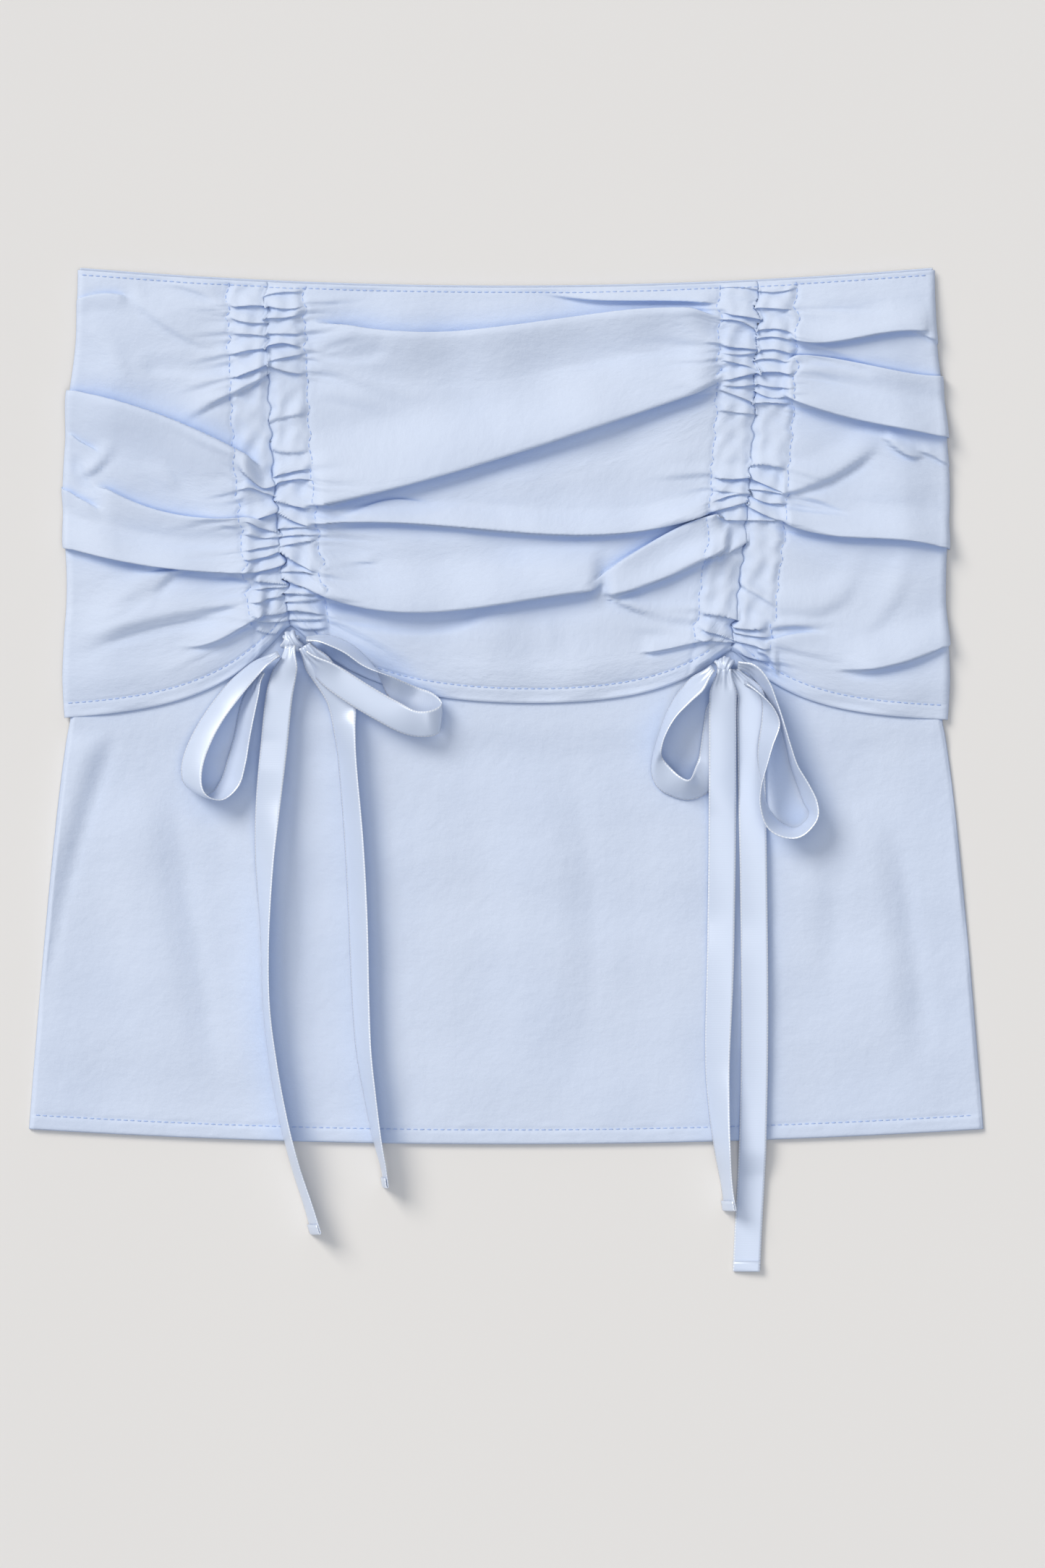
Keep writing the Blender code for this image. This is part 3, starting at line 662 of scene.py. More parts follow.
RIGHT_OUTER_GATHERS = [
    (8.3, 10.7, 10.1, 0.35), (18.8, 17.6, 17.4, 0.60), (29.6, 26.3, 27.7, 0.70),
    (33.3, 29.8, 30.9, 0.60), (39.3, 35.2, 36.3, 0.70), (43.0, 39.3, 40.3, 0.60),
    (45.9, 44.5, 45.1, 1.00), (50.0, 51.4, 49.2, 0.60), (53.8, 56.0, 52.5, 0.50),
    (59.3, 58.0, 58.5, 0.70), (87.8, 84.8, 85.1, 0.80), (97.8, 93.4, 89.7, 0.80),
    (98.3, 95.9, 95.1, 0.60), (99.9, 101.0, 97.2, 0.60), (109.1, 105.8, 101.3, 0.80),
    (108.5, 108.8, 108.5, 0.50), (146.5, 140.9, 135.5, 0.35), (154.4, 155.0, 153.6, 0.90),
    (158.9, 157.9, 156.3, 0.60), (164.3, 161.9, 159.8, 0.60), (169.7, 167.3, 164.6, 0.50),
]

LEFT = Channel(top_x=-103.0, end_x=-92.5, end_down=154.0, swag=31.0,
               length_shares=(0.0, 0.28, 0.53, 1.0), cloth_shares=(0.0, 0.26, 0.36, 1.0),
               left_gathers=LEFT_OUTER_GATHERS, right_gathers=LEFT_INNER_GATHERS, seed=3)
RIGHT = Channel(top_x=108.0, end_x=96.5, end_down=164.5, swag=27.0,
                length_shares=(0.0, 0.36, 0.50, 0.66, 0.90, 1.0),
                cloth_shares=(0.0, 0.48, 0.55, 0.74, 0.83, 1.0),
                left_gathers=RIGHT_INNER_GATHERS, right_gathers=RIGHT_OUTER_GATHERS, seed=8)

OVERLAY_FOLDS = [
    Fold("left waist tuck", ((-186, 15), (-177, 12), (-162, 13)), 1.6, 7, 2.5, Drop.ABOVE),
    Fold("left waist slant", ((-152, 9), (-134, 11), (-120, 19)), 1.0, 8, 4, fade=(0.6, 0.2)),
    Fold("left soft slant", ((-162, 14), (-147, 26), (-118, 38)), 1.1, 9, 5, fade=(0.1, 0.5)),
    Fold("left side slant", ((-184, 24), (-172, 39), (-160, 54)), 1.0, 10, 8, fade=(0.4, 0.4)),
    Fold("left shallow valley", ((-157, 47), (-116, 48)), -1.0, 8, 8),
    Fold("left channel crease", ((-141, 69), (-127, 60), (-103, 47)), 1.9, 9, 3, fade=(0.45, 0.1)),
    Fold("left upper swag", ((-191, 54), (-163, 60.5), (-134, 71), (-103, 87)), 5.0, 20, 3.4,
         Drop.ABOVE, (0.0, 0.1)),
    Fold("left side tuck", ((-184, 92), (-174, 86), (-164, 74)), 2.2, 7, 5, Drop.BELOW, (0.3, 0.6)),
    Fold("left edge crescent", ((-187, 71), (-181, 76), (-173, 78)), 1.6, 6, 2.2, Drop.ABOVE, (0.0, 0.5)),
    Fold("left edge pleat", ((-191, 94), (-184, 99), (-173, 104)), 2.4, 7, 2.4, Drop.ABOVE, (0.0, 0.4)),
    Fold("left edge dent", ((-182, 80), (-179, 90), (-176, 99)), -1.5, 5, 5, fade=(0.3, 0.3),
         upright=True),
    Fold("left middle swag", ((-177, 92), (-148, 105.5), (-128, 108.5), (-103, 107)), 3.0, 13, 2.8,
         Drop.ABOVE, (0.1, 0.1)),
    Fold("left upright roll", ((-145, 76), (-142, 88), (-134, 103)), 1.0, 9, 8, fade=(0.5, 0.5),
         upright=True),
    Fold("left roll into channel", ((-126, 88), (-114, 94), (-105, 97)), 1.5, 7, 3.5, fade=(0.5, 0.3)),
    Fold("left roll below", ((-134, 108), (-120, 113.5), (-104, 116)), 1.4, 8, 3, fade=(0.5, 0.1)),
    Fold("left lower swag", ((-191, 119), (-168, 125), (-138, 129.5), (-105, 130.5)), 5.0, 14, 2.8,
         Drop.BELOW, (0.0, 0.08)),
    Fold("left lower pleat", ((-126, 130), (-114, 133), (-104, 137)), 1.4, 5, 2.2, fade=(0.5, 0.1)),
    Fold("left arm", ((-139, 129.5), (-147, 137), (-150, 152)), 2.3, 12, 6, fade=(0.05, 0.7),
         upright=True),
    Fold("left slanting ridge", ((-182, 152), (-160, 144), (-146, 132)), 2.0, 12, 9, fade=(0.6, 0.2)),
    Fold("left soft band", ((-189, 169), (-168, 159), (-138, 151.5), (-104, 146)), 2.6, 16, 12,
         fade=(0.3, 0.1)),
    Fold("left hem swag", ((-142, 163), (-126, 161.5), (-113, 154.5), (-102, 148)), 4.6, 13, 4,
         Drop.BELOW, (0.55, 0.08)),
    Fold("left hem roll", ((-150, 178), (-124, 164), (-106, 155)), 1.0, 7, 5, fade=(0.7, 0.2)),
    Fold("centre tuck at waist", ((10, 10), (40, 14.6), (71, 14.8), (92, 16.5)), 2.6, 6, 2.6,
         Drop.BELOW, (0.4, 0.1)),
    Fold("centre upper swag", ((-87, 21), (-62, 28), (15, 25.5), (92, 20.5)), 4.8, 20, 3.2,
         Drop.ABOVE, (0.12, 0.08)),
    Fold("centre valley at left", ((-88, 34), (-74, 41), (-50, 41)), -1.2, 7, 7),
    Fold("centre faint slant", ((-84, 42), (-66, 50), (-34, 61)), 0.9, 9, 8, fade=(0.1, 0.6)),
    Fold("centre faint slant below", ((-83, 57), (-67, 59), (-46, 69)), 0.6, 8, 8, fade=(0.2, 0.6)),
    Fold("centre dip at right", ((38, 33), (56, 36), (74, 32)), 1.0, 9, 8, fade=(0.5, 0.5)),
    Fold("centre pleat at right", ((70, 26), (82, 31), (97, 34)), 1.6, 5, 2.4),
    Fold("centre slant at right", ((58, 45), (76, 40.5), (92, 40)), 0.9, 8, 5, Drop.ABOVE, (0.6, 0.1)),
    Fold("centre long diagonal", ((-88, 103.5), (-50, 95), (15, 76), (95, 49)), 6.6, 30, 3.8,
         Drop.BELOW, (0.06, 0.08)),
    Fold("centre roll top", ((-79, 110), (-66, 103.5), (-25, 103)), 1.6, 6, 2.6, Drop.ABOVE, (0.2, 0.5)),
    Fold("centre roll", ((-87, 111), (-25, 111), (34, 114.8), (95, 102.5)), 4.4, 10, 3,
         Drop.BELOW, (0.06, 0.08)),
    Fold("centre short diagonal", ((31, 137), (52, 125), (72, 113.5), (95, 106.5)), 3.4, 12, 3,
         Drop.ABOVE, (0.3, 0.08)),
    Fold("centre pleat at left", ((-86, 129.5), (-74, 128), (-54, 127)), 1.3, 5, 2.6),
    Fold("centre lower swag", ((-88, 136), (-62, 145.4), (-16, 146), (43, 138)), 6.0, 22, 3.4,
         Drop.BELOW, (0.08, 0.06)),
    Fold("centre pocket", ((42, 141), (53, 146.5), (67, 151)), 2.0, 7, 3, Drop.BELOW, (0.1, 0.6)),
    Fold("centre lower right swag", ((41, 141.5), (56, 137.5), (74, 130.5), (97, 119)), 4.6, 13, 3,
         Drop.BELOW, (0.08, 0.08)),
    Fold("centre low valley", ((-83, 147), (-62, 155), (-40, 158), (-6, 151)), -1.2, 8, 8),
    Fold("centre low slant", ((-77, 152), (-60, 160), (-38, 173)), 0.9, 9, 6, fade=(0.1, 0.7)),
    Fold("centre upright roll", ((21, 148), (23, 158), (26, 172)), 0.6, 10, 10, fade=(0.5, 0.5),
         upright=True),
    Fold("centre low pleat", ((58, 166), (74, 163), (90, 159)), 2.2, 8, 2.6),
    Fold("right waist ridge", ((118, 18), (150, 19), (172, 19)), 1.2, 8, 7, Drop.ABOVE, (0.2, 0.5)),
    Fold("right waist swag", ((120, 30), (146, 31), (170, 27), (184, 28)), 4.6, 12, 2.8,
         Drop.BELOW, (0.08, 0.1)),
    Fold("right edge tip", ((172, 26), (182, 31), (191, 38)), 2.2, 7, 2.4, Drop.BELOW, (0.3, 0.0)),
    Fold("right shallow swag", ((118, 39), (140, 40), (160, 44), (190, 47.5)), 3.0, 11, 3,
         Drop.ABOVE, (0.1, 0.0)),
    Fold("right valley", ((120, 46.5), (134, 44.5), (158, 51)), -1.1, 5, 5),
    Fold("right upper swag", ((117, 54), (140, 62.5), (162, 67.5), (191, 73)), 5.0, 18, 3,
         Drop.BELOW, (0.08, 0.0)),
    Fold("right pocket", ((161, 72), (168, 79), (180, 81.5)), 2.4, 7, 2.6, Drop.BELOW, (0.2, 0.4)),
    Fold("right slanting ridge", ((117, 98), (138, 92), (162, 76)), 2.6, 12, 6, fade=(0.05, 0.3)),
    Fold("right edge pleat", ((176, 79), (184, 82), (191, 87)), 1.8, 6, 2.6, Drop.BELOW, (0.3, 0.0)),
    Fold("right middle swag", ((117, 101), (134, 104), (158, 105)), 1.8, 8, 4,
         Drop.ABOVE, (0.1, 0.6)),
    Fold("right lower swag", ((116, 108), (138, 114.5), (162, 116), (191, 121)), 5.0, 14, 2.8,
         Drop.BELOW, (0.08, 0.0)),
    Fold("right soft slant", ((112, 151), (128, 150), (146, 143), (160, 118)), 1.3, 12, 9, fade=(0.1, 0.5)),
    Fold("right soft slant below", ((150, 158), (166, 148), (178, 128)), 1.0, 12, 10, fade=(0.5, 0.5)),
    Fold("right low pleat", ((112, 156), (122, 154.5), (138, 157)), 1.3, 5, 2.6, fade=(0.1, 0.6)),
    Fold("right lowest pleat", ((110, 160.5), (124, 157), (142, 157)), 1.4, 6, 3, Drop.ABOVE, (0.1, 0.6)),
    Fold("right hem swag", ((138, 174), (156, 172.5), (175, 168), (191, 161)), 4.0, 15, 3.6,
         Drop.BELOW, (0.4, 0.0)),
    Fold("right fold by the knot", ((107, 166), (114, 171), (117, 179)), 1.6, 5, 2.4),
]


def soft_folds(upright: bool, *rows: tuple[Any, ...]) -> list[Fold]:
    """Make soft folds whose crests don't lean.

    Args:
        upright: whether they run down the skirt.
        rows: each fold's name, line, rise, soft and steep widths, and fade.

    Returns:
        The folds.
    """
    return [Fold(name, line, rise, soft, steep, fade=fade, lean=0.0, upright=upright)
            for name, line, rise, soft, steep, fade in rows]


# The hidden back: where the front's folds reach the side seams, soft creases run on round the back.
OVERLAY_BACK_FOLDS = soft_folds(
    False,
    ("left upper", ((-188, 50), (-150, 57), (-96, 72)), 0.75, 13, 7, (0.05, 0.7)),
    ("left middle", ((-188, 97), (-138, 92), (-58, 104)), 0.8, 16, 8, (0.05, 0.8)),
    ("left lower", ((-188, 131), (-152, 140), (-121, 156)), 0.6, 11, 8, (0.05, 0.6)),
    ("middle", ((-92, 34), (-10, 58), (84, 49)), 0.55, 24, 18, (0.4, 0.5)),
    ("middle lower", ((-40, 138), (30, 146), (96, 133)), 0.5, 20, 16, (0.5, 0.4)),
    ("right upper", ((118, 45), (154, 41), (188, 32)), 0.65, 12, 8, (0.7, 0.05)),
    ("right middle", ((74, 92), (142, 80), (188, 83)), 0.8, 17, 8, (0.8, 0.05)),
    ("right lower", ((108, 122), (150, 127), (188, 118)), 0.7, 12, 7, (0.6, 0.05)),
)
UNDERSKIRT_BACK_FOLDS = soft_folds(
    True,
    ("left", ((-152, 222), (-160, 280), (-172, 350)), 0.5, 22, 24, (0.3, 0.3)),
    ("middle", ((-28, 230), (-34, 290), (-24, 345)), 0.4, 26, 28, (0.3, 0.5)),
    ("right", ((118, 226), (136, 280), (146, 352)), 0.5, 20, 26, (0.4, 0.3)),
)
UNDERSKIRT_FOLDS = soft_folds(
    True,
    ("side fold", ((-170, 200), (-183, 240), (-194, 280), (-202, 338)), 2.8, 18, 15, (0.02, 0.35)),
    ("right soft fold", ((160, 225), (172, 290), (176, 350)), 2.3, 28, 20, (0.3, 0.3)),
    ("left soft fold", ((-148, 215), (-136, 290), (-124, 366)), 2.3, 26, 22, (0.2, 0.3)),
    ("under the left bow", ((-104, 205), (-92, 260), (-96, 345)), 2.3, 22, 15, (0.1, 0.5)),
    ("centre soft fold", ((22, 205), (34, 280), (28, 350)), 1.6, 34, 24, (0.2, 0.4)),
    ("by the right bow", ((132, 215), (140, 270), (133, 320)), 1.4, 20, 18, (0.2, 0.5)),
)


@dataclass(frozen=True)
class Layout:
    """Edges of the laid-out skirt and the heights of its layers, in millimetres."""

    length: float = 376.3
    waist_half_width: float = 184.0
    overlay_half_width: float = 189.6
    inner_half_width: float = 181.4
    half_width_at_overlay: float = 187.2
    half_width_at_hem: float = 204.9
    flare_from: float = 25.0
    flare_length: float = 40.0
    flare_power: float = 0.75
    side_wave: float = 0.9
    side_wave_length: float = 78.0
    waist_dip: float = 7.7
    back_peek: float = 1.0
    side_hem: float = 195.2
    middle_hem: float = 189.5
    back_hem: float = 193.0
    shows_from: float = 196.0
    hem_rise: float = 6.5
    overlay_base: float = 5.1
    underskirt_high: float = 3.8
    underskirt_low: float = 2.3
    step_from: float = 194.5
    step_to: float = 210.5

    def waist(self, x: Array) -> Array:
        """The front waist edge, which dips towards the centre."""
        return self.back_peek + self.waist_dip * (1.0 - (x / self.waist_half_width) ** 2)

    def overlay_side(self, down: Array) -> Array:
        """Half the overlay's width.

        Args:
            down: distances below the waist.

        Returns:
            The half width at each, in millimetres.
        """
        flare = smooth((down - self.flare_from) / self.flare_length) * (
            self.overlay_half_width - self.waist_half_width)
        wave = self.side_wave * np.sin(down * math.tau / self.side_wave_length) * smooth(
            down / self.flare_length)
        return self.waist_half_width + flare + wave

    def left_hem(self, x: Array) -> Array:
        """The overlay's hem on its left side panel."""
        return self.side_hem - LEFT.drawn_up(x, self.side_hem)

    def right_hem(self, x: Array) -> Array:
        """The overlay's hem on its right side panel."""
        return self.side_hem - RIGHT.drawn_up(x, self.side_hem)

    def centre_hem(self, x: Array) -> Array:
        """The overlay's hem on its centre panel."""
        return self.middle_hem - LEFT.drawn_up(x, self.middle_hem) - RIGHT.drawn_up(x, self.middle_hem)

    def overlay_hem(self, x: Array, down: Array) -> Array:
        """The hem of the overlay's panel that each place is on."""
        return np.where(x < LEFT.seam(down), self.left_hem(x),
                        np.where(x > RIGHT.seam(down), self.right_hem(x), self.centre_hem(x)))

    def underskirt_side(self, down: Array) -> Array:
        """Half the underskirt's width: inside the overlay, then flaring to its own hem.

        Args:
            down: distances below the waist.

        Returns:
            The half width at each, in millimetres.
        """
        inner = self.inner_half_width + down / self.shows_from * (
            self.half_width_at_overlay - self.inner_half_width)
        share = np.clip((down - self.shows_from) / (self.length - self.hem_rise - self.shows_from), 0, 1)
        outer = self.half_width_at_overlay + share ** self.flare_power * (
            self.half_width_at_hem - self.half_width_at_overlay)
        return np.where(down < self.shows_from, inner, outer)

    def underskirt_hem(self, x: Array) -> Array:
        """The underskirt's hem, lowest at the centre."""
        return self.length - self.hem_rise * (x / self.half_width_at_hem) ** 2

    def step(self, down: Array) -> Array:
        """1 over the overlay's back and 0 past its hem, where the layers reach the table."""
        return 1.0 - smooth((down - self.step_from) / (self.step_to - self.step_from))

    def to_metres(self, places: Array) -> Array:
        """Turn rows of x, down and z in millimetres into points of the frame, in metres."""
        return np.column_stack([places[:, 0], self.length / 2 - places[:, 1], places[:, 2]]) * MM


SKIRT = Layout()


def steps_through(*stretches: tuple[float, float]) -> Array:
    """Places from 0 on, evenly spaced in each stretch.

    Args:
        stretches: where each stretch ends and the spacing to aim for in it.

    Returns:
        All the places in order, both ends included.
    """
    places, start = [0.0], 0.0
    for end, spacing in stretches:
        count = max(1, round((end - start) / spacing))
        places.extend(start + (end - start) * (index + 1) / count for index in range(count))
        start = end
    return np.array(places)


def settle(across: Array, along: Array, left: Edge, right: Edge, top: Edge, bottom: Edge
           ) -> tuple[Array, Array]:
    """Find the places at given shares of a panel whose four edges are curves.

    Args:
        across: shares of the panel's width, from its left edge.
        along: shares of its length, from its top edge.
        left: the left edge's x at a distance below the waist; right is the same for the right one.
        top: the top edge's distance below the waist at an x; bottom is the same for the lower one.

    Returns:
        The places' x and down.
    """
    x, down = np.zeros_like(across), np.full_like(across, SETTLE_FROM)
    for _ in range(SETTLE_ROUNDS):
        x = left(down) + (right(down) - left(down)) * across
        down = top(x) + (bottom(x) - top(x)) * along
    return x, down


def lay_cloth(name: str, columns: Array, rows: Array, place: Callable[[Array, Array], Array],
              thickness: float, finish: bpy.types.Material,
              across_uv: float | None = None) -> bpy.types.Object:
    """Make a thin piece from a grid whose points are moved to their places.

    Args:
        name: the piece's name.
        columns: places of its columns, in millimetres of its width.
        rows: places of its rows, in millimetres of its length.
        place: gives rows of x, down and z for arrays of columns' and rows' places.
        thickness: the wall's thickness in millimetres, built on the underside.
        finish: its material.
        across_uv: the u of its last column; left out, it is the piece's width in metres.

    Returns:
        The piece, riding on the skirt.
    """
    last_column, last_row = len(columns) - 1, len(rows) - 1
    cloth = bmesh.new()
    layer = cloth.loops.layers.uv.new("cloth")
    bmesh.ops.create_grid(cloth, x_segments=last_column, y_segments=last_row, size=1.0)
    column = np.array([round((v.co.x + 1.0) / 2.0 * last_column) for v in cloth.verts])
    row = np.array([last_row - round((v.co.y + 1.0) / 2.0 * last_row) for v in cloth.verts])
    points = SKIRT.to_metres(place(columns[column], rows[row]))
    width = across_uv if across_uv is not None else columns[-1] * MM
    u, v = columns[column] / columns[-1] * width, rows[row] * MM
    for vertex, point in zip(cloth.verts, points):
        vertex.co = point
    for face in cloth.faces:
        for corner in face.loops:
            corner[layer].uv = (u[corner.vert.index], v[corner.vert.index])
    piece = new_piece(name, cloth, finish)
    add_wall(piece, thickness)
    return piece


def new_piece(name: str, shape: bmesh.types.BMesh, finish: bpy.types.Material
              ) -> bpy.types.Object:
    """Turn a bmesh into a named piece, smoothly shaded, that rides on the skirt.

    Args:
        name: the piece's name.
        shape: its shape, which is used up.
        finish: its material.

    Returns:
        The piece.
    """
    for face in shape.faces:
        face.smooth = True
    piece = new_shape(name, shape, finish)
    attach(piece, "root")
    LOG.info("%s: %d faces", name, len(piece.data.polygons))
    return piece


@dataclass(frozen=True)
class Stitching:
    """A row of topstitches that dips in at each needle hole: thread of the cloth's colour, drawn in a
    darker blue as painted shade for the small shadows round each stitch.
    """

    finish: bpy.types.Material
    pitch: float = 2.9
    length: float = 2.1
    width: float = 0.5
    height: float = 0.34
    stands: float = 0.1

    def sew(self, name: str, routes: list[Array], slot: str = "crepe") -> bpy.types.Object:
        """Lay stitches along routes.

        Args:
            name: the piece's name.
            routes: rows of x, down and z in millimetres, close together, one array for each row.
            slot: the name of a slot for the thread's finish; not used.

        Returns:
            All the stitches as one piece.
        """
        thread = bmesh.new()
        for route in routes:
            points = SKIRT.to_metres(route) / MM
            gone = np.concatenate([[0.0], np.cumsum(np.linalg.norm(np.diff(points, axis=0), axis=1))])
            for index in range(int((gone[-1] - self.length) / self.pitch) + 1):
                start, end = index * self.pitch, index * self.pitch + self.length
                first, last = (Vector([np.interp(at, gone, points[:, axis]) for axis in range(3)])
                               for at in (start, end))
                along = (last - first).normalized()
                side = Vector((0.0, 0.0, 1.0)).cross(along).normalized()
                up = along.cross(side)
                turn = Matrix((along, side, up)).transposed().to_4x4()
                size = Matrix.Diagonal((self.length / 2 * MM, self.width / 2 * MM, self.height / 2 * MM, 1))
                bmesh.ops.create_uvsphere(
                    thread, u_segments=6, v_segments=4, radius=1.0,
                    matrix=Matrix.Translation((first + last) / 2 * MM) @ turn @ size)
        return new_piece(name, thread, self.finish)


class Side(Enum):
    """Which of the overlay's front panels."""

    LEFT = "left"
    CENTRE = "centre"
    RIGHT = "right"


@dataclass(frozen=True)
class Overlay:
    """The ruched overlay: three front panels sewn at two channels, and a plain back."""

    cloth: bpy.types.Material
    back_cloth: bpy.types.Material
    stitching: Stitching
    loft: float = 2.0
    loft_edge: float = 16.0
    fold_edge: float = 3.4
    casing_rise: float = 0.8
    casing_edge: float = 4.0
    casing_fall: float = 4.5
    seam_depth: float = 0.35
    seam_width: float = 0.7
    stitch_depth: float = 0.45
    stitch_width: float = 0.9
    hem: Turning = Turning(6.2, 0.25, 0.3, 0.8, 0.5, 0.9)
    waist: Turning = Turning(2.1, 0.0, 0.15, 0.7, 0.3, 0.8)
    side_roll: float = 3.0
    side_turn: float = 104.0
    side_bulge: float = 0.35
    back_inset: float = 1.0
    back_side_turn: float = 3.0
    back_waist_turn: float = 2.5
    back_turned_up: float = 1.2
    side_foot: float = 1.7
    side_ease: float = 22.0
    side_low: float = 0.62
    thickness: float = 0.45
    drop: float = 250.0
    rows: int = 400
    ripples: Ripples = Ripples(seed=5, height=0.6, shortest=20.0, longest=60.0)
    casing_puckers: Ripples = Ripples(seed=21, height=0.4, shortest=5.0, longest=13.0)

    def surface(self, x: Array, down: Array) -> Array:
        """Lay the front at places of the pattern.

        Args:
            x: places to the viewer's right.
            down: the same places' distances below the waist.

        Returns:
            Rows of x, down and z in millimetres, pulled over where a fold leans.
        """
        from_waist = down - SKIRT.waist(x)
        from_hem = SKIRT.overlay_hem(x, down) - down
        inland = smooth(from_waist / self.fold_edge) * smooth(from_hem / self.fold_edge)
        main = relief(OVERLAY_FOLDS, x, down)
        height, pull_x, pull_down = main.height, main.pull_x, main.pull_down
        z = SKIRT.overlay_base + self.loft * smooth(from_waist / self.loft_edge) * smooth(
            from_hem / self.loft_edge) + self.ripples.rise(x, down) * inland
        for channel in (LEFT, RIGHT):
            away = x - channel.seam(down)
            for side, hem in ((-1, SKIRT.side_hem), (1, SKIRT.middle_hem)):
                own = away * side >= 0.0
                small = relief(channel.gathers(side, hem), x[own], down[own])
                height[own] += small.height
                pull_x[own] += small.pull_x
                pull_down[own] += small.pull_down
            far = np.abs(away)
            past_edge = far - channel.casing + self.casing_edge
            tube = smooth(far / self.casing_edge) * (1.0 - smooth(past_edge / self.casing_fall))
            z = z + (self.casing_rise + self.casing_puckers.rise(x, down)) * tube * inland
            z = z - self.seam_depth * groove(far, self.seam_width) * smooth((from_waist + 4.0) / 6.0)
            z = z - self.stitch_depth * groove(far - channel.casing, self.stitch_width) * inland
        z = z + self.hem.shape(from_hem) + self.waist.shape(from_waist)
        to_side = smooth((SKIRT.overlay_side(down) - np.abs(x)) / self.side_ease)
        share = self.side_low + (1.0 - self.side_low) * to_side
        z = self.side_foot + (z + height * inland - self.side_foot) * share
        return np.column_stack([x + pull_x * inland, down + pull_down * inland, z])

    def roll_side(self, places: Array, x: Array, down: Array) -> Array:
        """Roll the front round to the side seam at its outer edges.

        Args:
            places: rows of x, down and z, which are changed.
            x: the same places on the pattern.
            down: their distances below the waist on the pattern.

        Returns:
            The places.
        """
        to_side = SKIRT.overlay_side(down) - np.abs(x)
        turn = (1.0 - np.clip(to_side / self.side_roll, 0.0, 1.0)) * math.radians(self.side_turn)
        rolled = turn > 0.0
        quarter = np.minimum(turn, math.pi / 2)
        high = places[:, 2]
        bulge = np.maximum(high - SKIRT.overlay_base, 0.0) * self.side_bulge
        edge = SKIRT.overlay_side(down) + bulge - self.side_roll * (1.0 - np.sin(turn))
        places[rolled, 0] = (np.sign(x) * edge)[rolled]
        places[rolled, 2] = (self.side_foot + (high - self.side_foot) * np.cos(quarter))[rolled]
        return places

    def panel(self, side: Side) -> bpy.types.Object:
        """Build one front panel.

        Args:
            side: which of them.

        Returns:
            The panel.
        """
        whole = (0.0, 1.0)
        if side is Side.LEFT:
            edges = (lambda low: -SKIRT.overlay_side(low), LEFT.line, SKIRT.left_hem)
            shares = (whole, whole, LEFT.cloth_shares, LEFT.length_shares)
            columns = steps_through((5.0, 0.6), (59.0, 2.0), (81.0, 0.8))
        elif side is Side.RIGHT:
            edges = (RIGHT.line, SKIRT.overlay_side, SKIRT.right_hem)
            shares = (RIGHT.cloth_shares, RIGHT.length_shares, whole, whole)
            columns = steps_through((22.0, 0.8), (71.0, 2.0), (76.0, 0.6))
        else:
            edges = (LEFT.line, RIGHT.line, SKIRT.centre_hem)
            shares = (LEFT.cloth_shares, LEFT.length_shares, RIGHT.cloth_shares, RIGHT.length_shares)
            columns = steps_through((22.0, 0.9), (189.0, 2.5), (211.0, 0.9))

        def place(column: Array, row: Array) -> Array:
            """Lay the grid's points between the panel's edges, drawn up along its channels.

            Args:
                column: the points' columns, in millimetres of the grid's width.
                row: their rows, in millimetres of its length.

            Returns:
                Rows of x, down and z in millimetres.
            """
            across, cloth = column / columns[-1], row / rows[-1]
            start, end = np.interp(cloth, *shares[:2]), np.interp(cloth, *shares[2:])
            x, down = settle(across, start + (end - start) * across, edges[0], edges[1],
                             SKIRT.waist, edges[2])
            for channel in (LEFT, RIGHT):
                x = x + channel.jog(down) * groove(x - channel.line(down), 7.0)
            return self.roll_side(self.surface(x, down), x, down)

        rows = np.linspace(0.0, self.drop, self.rows + 1)
        return lay_cloth(f"cloth_overlay_{side.value}", columns, rows, place, self.thickness, self.cloth)

    def back(self) -> bpy.types.Object:
        """Build the back, flat on the table, with its side edges turned up to the seams.

        Returns:
            The back.
        """
        def place(column: Array, row: Array) -> Array:
            """Lay the grid's points flat, with their creases and turned edges.

            Args:
                column: the points' columns, in millimetres of the grid's width.
                row: their rows, in millimetres of its length.

            Returns:
                Rows of x, down and z in millimetres.
            """
            x, down = settle(column / columns[-1], row / rows[-1],
                             lambda low: self.back_inset - SKIRT.overlay_side(low),
                             lambda low: SKIRT.overlay_side(low) - self.back_inset,
                             lambda over: SKIRT.waist(over) - SKIRT.back_peek,
                             lambda over: np.full_like(over, SKIRT.back_hem))
            to_side = SKIRT.overlay_side(down) - self.back_inset - np.abs(x)
            from_waist = down - SKIRT.waist(x) + SKIRT.back_peek
            turned = np.maximum(1.0 - smooth(to_side / self.back_side_turn),
                                0.9 * (1.0 - smooth(from_waist / self.back_waist_turn)))
            crease = relief(OVERLAY_BACK_FOLDS, x, down).height * (1.0 - turned)
            return np.column_stack([x, down, self.thickness + crease + self.back_turned_up * turned])

        columns = steps_through((4.0, 0.8), (373.0, 3.0), (377.0, 0.8))
        rows = steps_through((4.0, 0.8), (190.0, 2.4), (193.0, 1.0))
        return lay_cloth("cloth_overlay_back", columns, rows, place, self.thickness, self.back_cloth)

